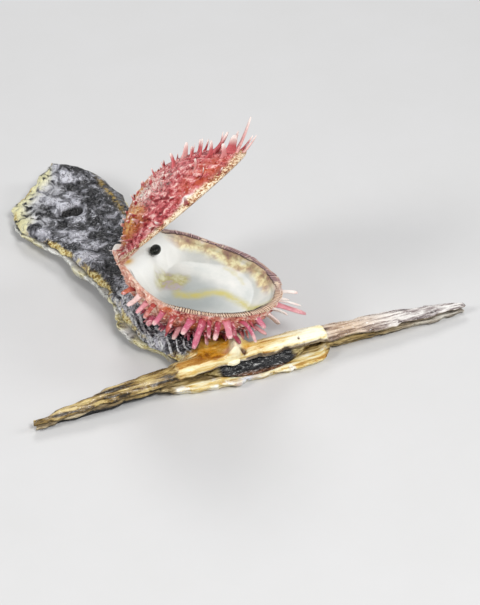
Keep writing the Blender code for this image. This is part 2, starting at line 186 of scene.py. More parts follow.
def edge_distance(x, y, outline):
    """How far each point is from the outline, taken as straight lines between every fourth of its points."""
    ends = np.stack([x, y], axis=-1)[outline[::4]]
    a, b = ends[None], np.roll(ends, -1, axis=0)[None]
    nearest = []
    for some in np.array_split(np.stack([x, y], axis=-1), 12):
        p = some[:, None]
        along = ((p - a) * (b - a)).sum(-1) / ((b - a) ** 2).sum(-1)
        off = p - a - np.clip(along, 0, 1)[..., None] * (b - a)
        nearest.append(np.sqrt((off**2).sum(-1).min(axis=1)))
    return np.concatenate(nearest)


def seam_height(x, y):
    """Where the two valves meet: an arch along the bar, and a long wave up the body."""
    bar = SEAM_AT_TIPS + SEAM_ARCH * (1 - along_arm(x) ** 2)
    body = through(BODY_SEAM, y / BODY_LENGTH)[..., 0]
    share = ease((y - BAR_BACK) / 14)
    wave = np.sin(x / 9 + y / 17) * share
    return bar * (1 - share) + body * share + wave


def hinge_hollow(x, y):
    """How far each valve is arched on the hinge side to hold the ligament, 0 to 1."""
    return lip_reach(x) * ease((3 - y) / 9)


def tip_fork(x):
    """How far the two valves spread apart towards the end of the right arm."""
    return TIP_FORK * ease((x - TIP_FORK_FROM) / (RIGHT_ARM - TIP_FORK_FROM))


def lower_topside(x, y):
    """The lower valve's upper face, half a gap below the seam, hollow at the hinge, forked at the tip."""
    return seam_height(x, y) - GAP / 2 - LOWER_HOLLOW * hinge_hollow(x, y) - tip_fork(x)


def shell_from(name, points, faces, marks):
    """An object from points in millimetres, and one number a point for each of its named marks."""
    mesh = bpy.data.meshes.new(name)
    mesh.from_pydata(((points + HINGE_PLACE) * MM).tolist(), [], faces)
    mesh.shade_smooth()
    for mark, values in marks.items():
        attribute = mesh.attributes.new(mark, "FLOAT", "POINT")
        attribute.data.foreach_set("value", np.broadcast_to(values, len(points)).astype(np.float32))
    mesh.update()
    obj = bpy.data.objects.new(name, mesh)
    bpy.context.scene.collection.objects.link(obj)
    return obj


def by_group(sizes, *values):
    """One row of numbers for groups of points: each group has an array of its own, or one number for all."""
    return np.concatenate([np.broadcast_to(value, size) for size, value in zip(sizes, values)])


def unit(vector):
    """The same directions, each of length 1."""
    vector = np.array(vector, float)
    return vector / np.linalg.norm(vector, axis=-1, keepdims=True)


def valve_slab(x, y, quads, outline, top, bottom, seed):
    """Closes a flat T into a slab: the quads at the heights top, again at bottom, and a wall round them.

    The wall bulges by a half wave of WALL_BULGE, and noise along it makes it flake. Returns the points, the
    faces, and how many points the top, the bottom and the wall have."""
    count, plan = len(x), np.stack([x, y], axis=-1)
    tangent = unit(plan[np.roll(outline, -1)] - plan[np.roll(outline, 1)])
    down = np.linspace(0, 1, WALL_STEPS + 2)[1:-1, None]
    wall_z = top[outline] * (1 - down) + bottom[outline] * down
    flake = rough(x[outline] / 3, y[outline] / 3, wall_z * 2, 1.6, seed)
    swell = WALL_BULGE * (np.sin(math.pi * down) + 0.8 * flake)
    wall_x, wall_y = x[outline] + tangent[:, 1] * swell, y[outline] - tangent[:, 0] * swell
    wall = np.stack([wall_x, wall_y, wall_z], axis=-1).reshape(-1, 3)
    rings = np.arange(len(wall)).reshape(WALL_STEPS, -1) + 2 * count
    rings = np.vstack([outline, rings, outline + count])
    all_quads = np.concatenate([quads, quads[:, ::-1] + count, quads_of(rings[::-1], ring=True)])
    points = np.concatenate([np.column_stack([x, y, top]), np.column_stack([x, y, bottom]), wall])
    return points, all_quads.tolist(), (count, count, len(wall))


def torn_edge(x, y, edge, reach, seed):
    """Moves points near the outline sideways by noise, so that it looks broken."""
    near = reach * np.exp(-edge / 2.5)
    return x + near * rough(x, y, 0, 7, seed), y + 0.7 * near * rough(x, y, 0, 6, seed + 50)


def arm_grain(x, y, z, seed):
    """Noise drawn out along the bar, as its growth lines are."""
    return rough(x / 7, y * 1.3, z * 1.3, 2.2, seed, 3)


x, y, quads, outline = hammer_plan(HINGE_LIP)
edge = edge_distance(x, y, outline)
for flap_at, flap_half, flap_reach in FLAPS:
    left_edge = through(BODY_LEFT_EDGE, np.clip(y / BODY_LENGTH, 0, 1))[..., 0]
    x = x - flap_reach * bump(y - flap_at, flap_half) * bump(x - left_edge, 5)
x, y = torn_edge(x, y, edge, 1.5 + 0.9 * lip_reach(x) * (y < -6), 11)
on_bar = 1 - ease((y - 4) / 10)
grain = arm_grain(x, y, 0, 21) * on_bar
top = lower_topside(x, y) - 0.15 + np.minimum(0.3 * grain, 0.1)
bottom = lower_topside(x, y) - EDGE_THICK - LOWER_THICK * (1 - np.exp(-edge / EDGE_ROUNDING))
bottom = bottom + 0.7 * rough(x, y, 5, 9, 31) * (1 - on_bar) + 0.6 * grain
bottom = np.minimum(np.maximum(bottom, 0), top - 0.5)
points, faces, slab = valve_slab(x, y, quads, outline, top, bottom, 41)
px, py, pz = points.T
lip_edge = 1.5 * rough(px, py, pz, 6, 61)
left_arm = ease((-24 - px) / 8) * (1 - ease((py - 4) / 6))
olive = bump(px - 68, 22) + bump(px + 14, 24) + bump(px - 44, 10) + 0.6 * ease((-24 - px) / 12)
marks = {
    "pale": ease((px + 23 + lip_edge) / 2) * ease((50 - px + lip_edge) / 2) * ease((-5 - py + lip_edge) / 3),
    "low": left_arm * ease((seam_height(px, py) - 1.3 - 0.5 * lip_edge - pz) / 0.7),
    "olive": olive * ease((6 - py) / 4),
    "body_rim": by_group(slab, np.exp(-edge / 3), np.exp(-edge / 3), 1) * ease((py - 8) / 10),
    "on_bar": 1 - ease((py - 4) / 10),
    "chalk": bump(px - 11, 6) * ease((-9.5 - py) / 1.5),
}
lower_valve = shell_from("lower_valve_of_hammer_oyster", points, faces, marks)


def node(tree, kind, inputs=(), **options):
    """Adds a shader node, sets its options, and wires or sets the inputs given by name or number.

    An input that is a word reads the mark of that name."""
    made = tree.nodes.new("ShaderNode" + kind)
    for option, value in options.items():
        setattr(made, option, value)
    for key, value in dict(inputs).items():
        if isinstance(value, str):
            value = node(tree, "Attribute", attribute_name=value).outputs["Fac"]
        if isinstance(value, bpy.types.NodeSocket):
            tree.links.new(value, made.inputs[key])
        else:
            made.inputs[key].default_value = value
    return made


def new_finish(name):
    """An empty Principled material: returns it, its tree, and its shader."""
    material = bpy.data.materials.new(name)
    material.use_nodes = True
    return material, material.node_tree, material.node_tree.nodes["Principled BSDF"]


def speckle(tree, size, seed, stretch=(1, 1, 1), detail=5, distort=0.0):
    """Noise from 0 to 1 on Object coordinates, whose blots are about this many millimetres across."""
    place = node(tree, "TexCoord").outputs["Object"]
    scale = [1 / (MM * size * share) for share in stretch]
    place = node(tree, "Mapping", {"Vector": place, "Scale": scale, "Location": (seed, 0, 0)}).outputs[0]
    settings = {"Vector": place, "Scale": 1.0, "Detail": detail, "Roughness": 0.62, "Distortion": distort}
    return node(tree, "TexNoise", settings).outputs["Fac"]


def window(tree, value, low, high):
    """0 where value is below low, 1 above high, smooth between. With low above high it is turned round."""
    settings = {"Value": value, "From Min": low, "From Max": high}
    return node(tree, "MapRange", settings, interpolation_type="SMOOTHSTEP").outputs["Result"]


def times(tree, a, b):
    """The product of two values, kept between 0 and 1."""
    return node(tree, "Math", {0: a, 1: b}, operation="MULTIPLY", use_clamp=True).outputs[0]


def plus(tree, value, *parts):
    """A value plus its parts, each a pair of another value and how many times that counts."""
    for part, factor in parts:
        value = node(tree, "Math", {0: part, 1: factor, 2: value}, operation="MULTIPLY_ADD").outputs[0]
    return value


def paint(tree, colour, *coats):
    """Lays coats on a colour, each given as its own colour and its share.

    A worn coat also has a noise and two levels: below the first it is gone, above the second whole."""
    for over, share, *wear in coats:
        if wear:
            share = times(tree, share, window(tree, *wear))
        colour, over = [c if isinstance(c, bpy.types.NodeSocket) else (*c, 1) for c in (colour, over)]
        colour = node(tree, "Mix", {0: share, 6: colour, 7: over}, data_type="RGBA").outputs[2]
    return colour


def grade(tree, value, *stops):
    """A colour ramp through stops of (place, red, green, blue)."""
    ramp = node(tree, "ValToRGB", {"Fac": value})
    while len(ramp.color_ramp.elements) < len(stops):
        ramp.color_ramp.elements.new(0.5)
    for element, (place, *colour) in zip(ramp.color_ramp.elements, stops):
        element.position = place
        element.color = (*colour, 1)
    return ramp.outputs["Color"]


def relief(tree, *layers):
    """Bumps laid one on another, each given as its height and its depth in millimetres."""
    inputs = {"Strength": 1.0}
    for height, depth in layers:
        inputs.update(Height=height, Distance=depth * MM)
        inputs["Normal"] = node(tree, "Bump", inputs).outputs["Normal"]
    return inputs["Normal"]


def finish_shell(obj, material, shader, colour, roughness, normal):
    """Wires colour, roughness and normal into the shader, and gives the object its material."""
    for name, value in (("Base Color", colour), ("Roughness", roughness), ("Normal", normal)):
        material.node_tree.links.new(value, shader.inputs[name])
    obj.data.materials.append(material)
    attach(obj, "root")


material, tree, shader = new_finish("flaking_grey_and_cream_layers")
blots = speckle(tree, 9, 1.0, detail=8)
lines = speckle(tree, 1.6, 2.0, stretch=(9, 1, 1), detail=6)
grit = speckle(tree, 1.1, 3.0, detail=6)
layers = speckle(tree, 2.6, 4.0, stretch=(1, 1, 0.12), detail=6)
patches = speckle(tree, 22, 7.0, detail=2)
greys = grade(tree, blots, (0.3, 0.055, 0.05, 0.05), (0.5, 0.22, 0.2, 0.19), (0.68, 0.5, 0.47, 0.43))
arm = grade(tree, lines, (0.36, 0.03, 0.024, 0.02), (0.48, 0.27, 0.23, 0.18), (0.6, 0.66, 0.63, 0.56))
olives = grade(tree, lines, (0.36, 0.035, 0.022, 0.006), (0.48, 0.26, 0.17, 0.05), (0.62, 0.6, 0.46, 0.2))
black = paint(tree, (0.006, 0.006, 0.007), ((0.4, 0.4, 0.38), window(tree, grit, 0.64, 0.7)))
chalks = grade(tree, layers, (0.36, 0.12, 0.12, 0.11), (0.46, 0.5, 0.5, 0.46), (0.6, 0.85, 0.85, 0.8))
flap_tone = plus(tree, layers, (blots, 0.4))
flaps = grade(tree, flap_tone, (0.56, 0.06, 0.05, 0.03), (0.64, 0.46, 0.38, 0.12), (0.74, 0.82, 0.78, 0.52))
flaps = paint(tree, chalks, (flaps, window(tree, patches, 0.42, 0.54)))
creams = grade(tree, lines, (0.38, 0.42, 0.2, 0.03), (0.48, 0.78, 0.58, 0.2), (0.6, 0.9, 0.85, 0.6))
white_blots = (0.95, 0.93, 0.84), window(tree, blots, 0.5, 0.6)
creams = paint(tree, creams, white_blots, ((0.7, 0.73, 0.8), "chalk", blots, 0.3, 0.5))
arm = paint(tree, arm, (olives, "olive"))
colour = paint(tree, greys, (arm, "on_bar"), (black, "low"), (flaps, "body_rim"), (creams, "pale"))
normal = relief(tree, (grit, 0.5), (lines, 0.8))
roughness = window(tree, grit, -0.5, 1.0)
finish_shell(lower_valve, material, shader, colour, roughness, normal)
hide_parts("hammer_oyster_lower_valve")

# Hammer oyster, ligament
# Black, horny and cracked. It fills the lens-shaped hollow between the two hinges and holds the valves
# together, with pale threads of torn shell across it and brown staining where it meets the lip.

LIGAMENT_AT = 18
LIGAMENT_HALF = 25
LIGAMENT_STEPS = (220, 46)


def ligament_heights(x, y):
    """Under the upper valve it fills the hollow, and in front it slopes down to the lip."""
    inside = seam_height(x, y) + GAP / 2 + UPPER_HOLLOW * hinge_hollow(x, y) - 0.9
    out = np.clip(-BAR_FRONT + 0.6 - y, 0, None)
    bottom = lower_topside(x, y) + 0.2
    return np.maximum(inside - 0.62 * out - 0.3 * (out > 0), bottom + 0.5), bottom


def closed_slab(along, across, shape):
    """Two grids, one above the other, closed round their shared edge. shape gives the points of both."""
    u, v = np.meshgrid(np.linspace(-1, 1, along), np.linspace(0, 1, across))
    upper, lower = shape(u, v)
    index = np.arange(u.size).reshape(u.shape)
    ring = np.concatenate([index[0], index[1:, -1], index[-1, :-1][::-1], index[1:-1, 0][::-1], index[0, :1]])
    sides = np.vstack([ring + u.size, ring])
    quads = np.concatenate([quads_of(index), quads_of(index)[:, ::-1] + u.size, quads_of(sides)])
    return np.concatenate([upper.reshape(-1, 3), lower.reshape(-1, 3)]), quads.tolist()


def ligament_shape(u, v):
    """A lens: x over the hinge, y from its bowed front edge to a straight back edge, with cracked heights."""
    x = LIGAMENT_AT + LIGAMENT_HALF * u
    front = -3.0 - 8.0 * np.maximum(1 - u**2, 0.12)
    y = front + (-1.5 - front) * v
    top, bottom = ligament_heights(x, y)
    cracks = 0.55 * rough(x / 2.2, y, 3, 1.8, 71, 4) - 0.35
    top = np.maximum(top + np.where(y < -4, cracks, 0), bottom + 0.3)
    return np.stack([x, y, top], axis=-1), np.stack([x, y, bottom], axis=-1)


points, faces = closed_slab(*LIGAMENT_STEPS, ligament_shape)
marks = {
    "front_stain": ease((-8.0 - points[:, 1]) / 2.5),
    "shelly": ease((points[:, 0] - 33) / 3) + ease((1 - points[:, 0]) / 3),
}
ligament = shell_from("ligament_of_hammer_oyster", points, faces, marks)
material, tree, shader = new_finish("black_cracked_ligament")
shader.inputs["Specular IOR Level"].default_value = 0.3
cracks = speckle(tree, 1.5, 5.0, stretch=(2.6, 1, 1), detail=7, distort=1.2)
threads = speckle(tree, 2.4, 6.0, stretch=(3.5, 1, 1), detail=3, distort=2.0)
thread = times(tree, window(tree, threads, 0.475, 0.5), window(tree, threads, 0.525, 0.5))
bark = speckle(tree, 1.4, 7.0, stretch=(6, 1, 1), detail=5)
bark = grade(tree, bark, (0.4, 0.1, 0.06, 0.02), (0.5, 0.3, 0.22, 0.07), (0.6, 0.55, 0.46, 0.24))
black = grade(tree, cracks, (0.35, 0.003, 0.003, 0.004), (0.66, 0.02, 0.02, 0.022))
stain = (0.2, 0.07, 0.015), "front_stain", cracks, 0.4, 0.6
colour = paint(tree, black, stain, ((0.6, 0.6, 0.58), thread, cracks, 0.48, 0.58), (bark, "shelly"))
normal = relief(tree, (cracks, 0.6))
finish_shell(ligament, material, shader, colour, window(tree, cracks, -0.1, 1.3), normal)
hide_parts("hammer_oyster_ligament")

# Hammer oyster, upper valve
# It lies on the lower valve and has the same outline. Charcoal and lavender-grey flaking shell, with a
# smooth cream and amber layer laid bare round the hinge that breaks off in a ledge along the right arm.

UPPER_THICK = 3.6
RIDGE_WAVE = 0.9
LEDGE_AT = 50
LEDGE_STEP = 1.3
PALE_FROM = -20
KNOB_HEIGHT = 3.6
KNOB_AT = 9.6
SLOT_AT = (-19.3, 126.8)
SLOT_HALF = (5.4, 3.0)
SLOT_DEPTH = 3.2
SMALL_PITS = ((37.4, -4.6, 0.6), (11.6, -4.0, 1.5), (-35.5, -4.7, 0.6))
NODULE_AT = (6.2, -6.2, 9.6)
NODULE_HALF = (2.9, 1.3, 1.2)


def knob_share(x, y):
    """1 on the ridge that crosses the hinge from the neck to the front edge, 0 off it."""
    return bump(x - KNOB_AT - 0.42 * y, 2.6) * ease((y + 7) / 3) * ease((13 - y) / 6)


def upper_top(x, y, edge):
    """The upper face: an arched slab with growth ridges, the knob at the hinge, the ledge and the slot."""
    z = seam_height(x, y) + GAP / 2 + EDGE_THICK + UPPER_THICK * (1 - np.exp(-edge / EDGE_ROUNDING))
    inside = 1 - np.exp(-edge / 3)
    on_body = ease((y - 6) / 10)
    z = z + RIDGE_WAVE * np.sin(y / 4.6 + 2.2 * np.sin(x / 15)) * inside * (y > BAR_BACK)
    z = z + KNOB_HEIGHT * knob_share(x, y)
    torn = 1.2 * rough(x, y, 0, 5, 81)
    pale = ease((x - PALE_FROM + torn) / 3) * ease((LEDGE_AT - x - 0.4 * y + 1.6 * torn) / 0.8)
    pale = pale * ease((7 - y + torn) / 3)
    z = z + LEDGE_STEP * pale + UPPER_HOLLOW * hinge_hollow(x, y)
    lumps = 1.3 * rough(x, y, 0, 15, 82, 3) + 0.5 * (0.6 - 2 * np.abs(rough(x, y, 0, 6, 83, 4)))
    flakes = 0.3 * np.floor(3 * rough(x * 0.6, y, 0, 8, 84, 3))
    height = lumps + flakes
    z = z + (height - 0.3) * on_body * inside
    z = z + (0.3 - 0.2 * pale) * arm_grain(x, y, 0, 85) * (1 - on_body)
    slot_x = (x - SLOT_AT[0]) / SLOT_HALF[0]
    slot_y = (y - SLOT_AT[1]) / SLOT_HALF[1]
    slot = ease(2.2 - 1.7 * (slot_x**2 + slot_y**2))
    z = z - SLOT_DEPTH * slot
    for pit_x, pit_y, size in SMALL_PITS:
        z = z - size * 1.2 * bump(np.hypot(x - pit_x, y - pit_y), size)
    z = z - 1.6 * bump(x - 1, 8) * bump(y - 3, 4.5)
    z = z + 0.7 * bump(y + 5.0, 1.3) * ease((x + 22) / 8) * ease((16 - x) / 8)
    z = z + 1.3 * bump(x - 6, 3.5) * bump(y + 5.6, 1.4)
    return z, pale, slot, height


def closed_ball(columns, rings):
    """Angles round a ball, and levels from one pole (-1) over the rim (0) to the other (1).

    Each pole is one point with triangles round it. Returns angles, levels and faces."""
    half = 1 - np.linspace(0, 1, rings + 1)[1:-1]
    level = np.concatenate([-half, [0], half[::-1]])
    angle = np.linspace(-math.pi, math.pi, columns, endpoint=False)
    index = np.arange(len(level) * columns).reshape(len(level), columns)
    index = np.hstack([index, index[:, :1]])
    first, last = index.max() + 1, index.max() + 2
    caps = [np.stack([np.full(columns, first), index[0, :-1], index[0, 1:]], axis=-1)]
    caps.append(np.stack([np.full(columns, last), index[-1, 1:], index[-1, :-1]], axis=-1))
    faces = quads_of(index)[:, ::-1].tolist() + np.concatenate(caps).tolist()
    angles = np.append(np.tile(angle, len(level)), (0, 0))
    levels = np.append(np.repeat(level, columns), (-1, 1))
    return angles, levels, faces


def joined(*pieces):
    """Several pieces as one, each given as its points and its faces, with the faces' corners counted on."""
    faces, count = [], 0
    for piece_points, piece_faces in pieces:
        faces += [[corner + count for corner in face] for face in piece_faces]
        count += len(piece_points)
    return np.concatenate([piece_points for piece_points, _ in pieces]), faces


def round_ball(columns, rings):
    """A ball of radius 1: its points, from the cosines and sines of closed_ball's measures, and its faces."""
    angle, level, faces = closed_ball(columns, rings)
    flat, height = np.cos(level * math.pi / 2), np.sin(level * math.pi / 2)
    return np.column_stack([flat * np.cos(angle), flat * np.sin(angle), -height]), faces


def hanging_nodule():
    """A rounded bead of shell under the front edge: a ball stretched to NODULE_HALF and roughened."""
    ball, faces = round_ball(32, 9)
    grow = 1 + 0.25 * rough(*(ball.T * 3), 2, 89, 3)
    return NODULE_AT + ball * NODULE_HALF * grow[:, None], faces


x, y, quads, outline = hammer_plan(0)
edge = edge_distance(x, y, outline)
x, y = torn_edge(x, y, edge, 1.3, 12)
top, pale, slot, height = upper_top(x, y, edge)
bottom = seam_height(x, y) + GAP / 2 + UPPER_HOLLOW * hinge_hollow(x, y) + tip_fork(x)
top = np.maximum(top, bottom + 0.6)
points, faces, slab = valve_slab(x, y, quads, outline, top, bottom, 42)
px, py, pz = points.T
edge = by_group(slab, edge, edge, 0)
wall_x, wall_pale = np.tile(x[outline], WALL_STEPS), np.tile(pale[outline], WALL_STEPS)
wall_row = np.repeat(np.arange(WALL_STEPS), len(outline))
marks = {
    "pale": by_group(slab, pale, 0, wall_pale * (wall_row < 1 + 2 * (wall_x < 12))),
    "wall": by_group(slab, 0, 0, ease((wall_x - 10) / 6) * (wall_row > 0)),
    "height": by_group(slab, height, 0, 0),
    "slot": by_group(slab, slot, 0, 0),
    "halo": bump(np.hypot(px - SLOT_AT[0], 1.4 * (py - SLOT_AT[1])), 11),
    "rim": np.exp(-edge / (1.7 + 1.2 * bump(py - 68, 12) * (px < -8))),
    "cream": np.exp(-edge / 8) * ease((py - 116) / 10) * ease((-14 - px) / 8),
    "amber": ease((px + 11) / 5) * ease((19 - px + 0.4 * py) / 5)
    * ease((py + 4.2 + rough(px, py, 0, 3, 88)) / 1.5),
    "front": ease((-4.1 - py - 0.6 * rough(px, py, 0, 4, 87)) / 0.8)
    * ease((20 - px) / 8) * ease((px + 21) / 9),
    "body": ease((py - 3.5 - 9 * ease((px + 8) / 9) - 1.6 * rough(px, py, 0, 4, 86)) / 2.5),
    "distal": ease((py - 112) / 16) * ease((-10 - px) / 14),
    "proximal": ease((64 - py) / 14),
    "stripe": bump(px - 1.4 - 0.04 * (125 - py), 1.3) * bump(py - 128, 15),
    "right_arm": ease((px - 48) / 4),
    "brown_arm": bump(px - 60, 17),
    "left_arm": ease((-9 - px) / 7) * (1 - ease((py - 4) / 5)),
    "knob": knob_share(px, py) * (pz > seam_height(px, py) + 2),
    # Darker towards the neck: painted shade where the spiny oyster's cup hangs over the body
    "neck": ease((px + 15) / 8) * ease((60 - py) / 14),
    "leftward": ease((-9 - px - 0.12 * py) / 12),
    "rightward": ease((px - 10) / 32) - 0.4,
    "pink": 0.8 * bump(np.hypot(px - 5.4, py + 1.6), 2.2),
    "holes": sum(ease(2 - 1.6 * np.hypot(px - a, py - b) / r) for a, b, r in SMALL_PITS),
    "shade": bump(px - 2, 13) * bump(py - 108, 36) + bump(px + 11, 6) * bump(py - 12, 9),
}
nodule = hanging_nodule()
groups = len(points), len(nodule[0])
# The nodule takes the knob's mark, and with it the knob's painted brightness
marks = {name: by_group(groups, values, name == "knob") for name, values in marks.items()}
upper_valve = shell_from("upper_valve_of_hammer_oyster", *joined((points, faces), nodule), marks)
material, tree, shader = new_finish("charcoal_shell_with_cream_hinge")
blots = speckle(tree, 20, 11.0, detail=2, distort=0.4)
curls = speckle(tree, 4.2, 12.0, detail=2, distort=2.2)
grit = speckle(tree, 1.0, 13.0, detail=6)
lines = speckle(tree, 1.5, 14.0, stretch=(10, 1, 1), detail=6)
fine_blots = speckle(tree, 5.0, 15.0, detail=2.5, distort=0.9)
patches = speckle(tree, 22, 17.0, detail=2)
veins, edges = [
    node(tree, "Math", {0: plus(tree, curls, (middle, -1))}, operation="ABSOLUTE").outputs[0]
    for middle in (0.5, 0.57)
]
# The dark body: shades of charcoal, black cracks, pale painted highlights along the flakes, and an ochre
# streak
# The neck mark lowers the tone as painted shade under the cup
tone = plus(
    tree, blots, (fine_blots, 0.9), ("shade", -0.2), ("height", 0.07), ("distal", -0.075), ("neck", -0.2),
    ("halo", 0.11), (1.0, -0.1),
)
body = grade(
    tree, tone, (0.7, 0.005, 0.005, 0.006), (0.79, 0.03, 0.03, 0.034), (0.86, 0.14, 0.14, 0.155),
    (0.95, 0.34, 0.34, 0.375), (1.0, 0.58, 0.58, 0.63),
)
# Pale grey lines along the flakes' edges: painted highlights
painted_highlight = times(tree, window(tree, edges, 0.025, 0.006), "body")
body = paint(
    tree, body, ((0.006, 0.006, 0.007), window(tree, veins, 0.035, 0.01), fine_blots, 0.38, 0.5),
    ((0.62, 0.62, 0.66), painted_highlight, fine_blots, 0.44, 0.58), ((0.5, 0.33, 0.06), "stripe", curls, 0.4, 0.52),
)
# Fans of white lines near the hinge, then the frosted and cream far end and the ragged olive rim
place = node(tree, "TexCoord").outputs["Object"]
settings = {"Vector": place, "Scale": 1 / (MM * 9), "Distortion": 6.0, "Detail": 2.0, "Detail Scale": 0.6}
fan = node(tree, "TexWave", settings, bands_direction="X").outputs["Fac"]
fan = plus(tree, fan, (fine_blots, 0.5), ("leftward", 0.7))
pale_tone = plus(tree, curls, (grit, 0.4))
pales = grade(tree, pale_tone, (0.58, 0.1, 0.1, 0.105), (0.7, 0.45, 0.46, 0.47), (0.82, 0.75, 0.76, 0.76))
rim_tone = plus(tree, grit, (fine_blots, 0.6))
olives = grade(tree, rim_tone, (0.68, 0.14, 0.07, 0.012), (0.78, 0.46, 0.31, 0.06), (0.92, 0.76, 0.68, 0.36))
rim = window(tree, plus(tree, "rim", (curls, 0.5)), 0.62, 0.95)
body = paint(
    tree, body, (pales, "proximal", fan, 1.16, 1.26),
    ((0.58, 0.58, 0.6), window(tree, "cream", 0.0, 0.5), fine_blots, 0.4, 0.58),
    ((0.76, 0.72, 0.42), window(tree, "cream", 0.3, 0.75), fine_blots, 0.37, 0.52),
    (olives, rim, plus(tree, patches, (fine_blots, 0.4)), 0.66, 0.78),
)
# The arms: grey-brown and drawn out along the bar, browner on the right and olive on the left
arm_tone = plus(tree, lines, (blots, 0.3))
arm = grade(tree, arm_tone, (0.54, 0.05, 0.035, 0.033), (0.63, 0.3, 0.25, 0.24), (0.74, 0.8, 0.77, 0.73))
browns = grade(tree, arm_tone, (0.54, 0.09, 0.045, 0.025), (0.63, 0.3, 0.19, 0.12), (0.75, 0.66, 0.5, 0.36))
dark_arm = grade(tree, lines, (0.4, 0.03, 0.02, 0.01), (0.5, 0.25, 0.16, 0.05), (0.62, 0.62, 0.48, 0.2))
white_grit = (0.84, 0.82, 0.78), "right_arm", grit, 0.6, 0.68
arm = paint(tree, arm, (browns, "brown_arm"), white_grit, (dark_arm, "left_arm"))
# The hinge: cream and amber layers, the knob and the nodule in a pale cream painted brighter as where light
# falls on them, the broken wall, the small holes, and the slot painted black as the shade in its hollow
streaks = plus(tree, lines, (blots, 0.4), ("rightward", 0.14))
creams = grade(
    tree, streaks, (0.56, 0.4, 0.19, 0.04), (0.64, 0.7, 0.46, 0.13), (0.76, 0.86, 0.75, 0.42),
    (0.88, 0.93, 0.89, 0.7),
)
amber_tone = plus(tree, blots, (fine_blots, 0.4))
ambers = grade(tree, amber_tone, (0.6, 0.26, 0.09, 0.012), (0.7, 0.68, 0.32, 0.025), (0.82, 0.86, 0.6, 0.16))
ridges = grade(tree, lines, (0.4, 0.68, 0.45, 0.12), (0.55, 0.85, 0.76, 0.45))
walls = grade(tree, lines, (0.4, 0.06, 0.04, 0.025), (0.5, 0.2, 0.15, 0.09), (0.62, 0.42, 0.34, 0.22))
off_body = plus(tree, 1.0, ("body", -1))
colour = paint(
    tree, arm, (body, "body"), (creams, "pale"), (ambers, times(tree, "amber", off_body)),
    (ridges, times(tree, "front", "pale")), (walls, "wall"), ((0.66, 0.36, 0.26), "pink"),
    # Knob and nodule: pale cream, made brighter by painted light
    ((0.95, 0.88, 0.62), times(tree, window(tree, "knob", 0.1, 0.6), off_body)),
    # The slot is painted near black: painted shade inside its hollow
    ((0.12, 0.05, 0.015), "holes"), ((0.004, 0.004, 0.004), window(tree, "slot", 0.25, 0.7)),
)
normal = relief(
    tree, (grit, 0.2), (times(tree, fine_blots, "body"), 2.0), (times(tree, veins, "body"), 1.4),
    (times(tree, lines, "right_arm"), 0.8),
)
roughness = window(tree, plus(tree, grit, (fine_blots, 0.5)), 0.35, 1.5)
finish_shell(upper_valve, material, shader, colour, roughness, normal)
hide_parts("hammer_oyster_upper_valve")

# Spiny oyster, lower valve
# A deep cup cemented to the hammer oyster: porcelain inside, with a toothed margin, and outside salmon
# and rose with ribs that grew out into strap-like spines. All of it is one piece of shell.

HALF_WIDTH = 34.0
HINGE_TO_MIDDLE = 32.0
LOWER_HALF_LENGTH = 38.0
EAR = 2.0
LEAN = 8.0
BEAK = 9.0
LOWER_DEPTH = 22.0
BOWL_DEPTH = 14.0
SHELL_WALL = 2.6
RIM_WIDTH = 0.075
RIB_HEIGHT = 0.7
RIB_COUNT = 30
PAD_AT = (-4.4, 7.8)
CUP_COLUMNS = 300
CUP_RINGS = 90

SPINY_HINGE = (-12, 61, 31.5)
HINGE_LINE = (-0.67, -0.712, 0.211)
# Which way the valve's lips lie from its hinge, its side (-1 lower, 1 upper), and how far it is lifted
LOWER_VALVE = ((0.720, -0.686, -0.105), -1, 0)

SCAR_AT = (0.8, 19.8)
SCAR_HALF = (8.8, 7.0)
FAINT_LINE = ((-18, 37), (-16, 43), (-11, 49))
PALLIAL_LINE = ((8, 26), (5.5, 33), (-1, 40), (0, 50), (5, 58), (8, 67))

# Each spine of the near rim and the lips: degrees round the rim from the lips, place from the middle (0) to
# the rim (1), length, width, degrees that it leans along the rim, degrees that it points down, and its tone
# from orange (0) over crimson and pink to white (1)
SHOWN_SPINES = (
    (129, 0.95, 6, 2.6, -14, 12, 0.0), (118, 0.96, 8, 2.6, -9, 17, 0.9), (109, 0.96, 7, 2.4, 0, 26, 0.7),
    (103, 0.97, 9, 2.4, -7, 21, 0.15), (94, 0.96, 9, 2.4, 1, 16, 0.6), (85, 0.96, 9, 2.8, 1, 27, 0.2),
    (79, 0.96, 4, 2.0, 6, 14, 0.1), (72, 0.96, 9, 3.2, 21, 19, 0.55), (63, 0.96, 15, 3.4, 20, 25, 0.5),
    (59, 0.97, 9, 2.6, 10, 23, 0.35), (52, 0.96, 10, 2.6, 24, 22, 0.38), (47, 0.97, 9, 3.2, 8, 22, 0.65),
    (42, 0.96, 7, 2.4, 6, 26, 0.35), (36, 0.97, 14, 1.9, 6, 9, 0.5), (27, 0.95, 5, 2.4, -4, 30, 0.3),
    (20, 0.96, 6, 3.6, -13, 35, 0.6), (6, 0.94, 8, 4.0, -27, 32, 0.95), (1, 0.96, 7, 3.4, 5, 2, 1.0),
    (-4, 0.97, 15, 3.8, -22, 13, 0.7), (-10, 0.97, 11, 2.6, 8, -4, 1.0), (-15, 0.96, 6, 2.4, -20, 6, 1.0),
    (-22, 0.97, 9, 2.4, 7, -10, 1.0), (-28, 0.96, 5, 3.4, -22, 7, 0.8),
)
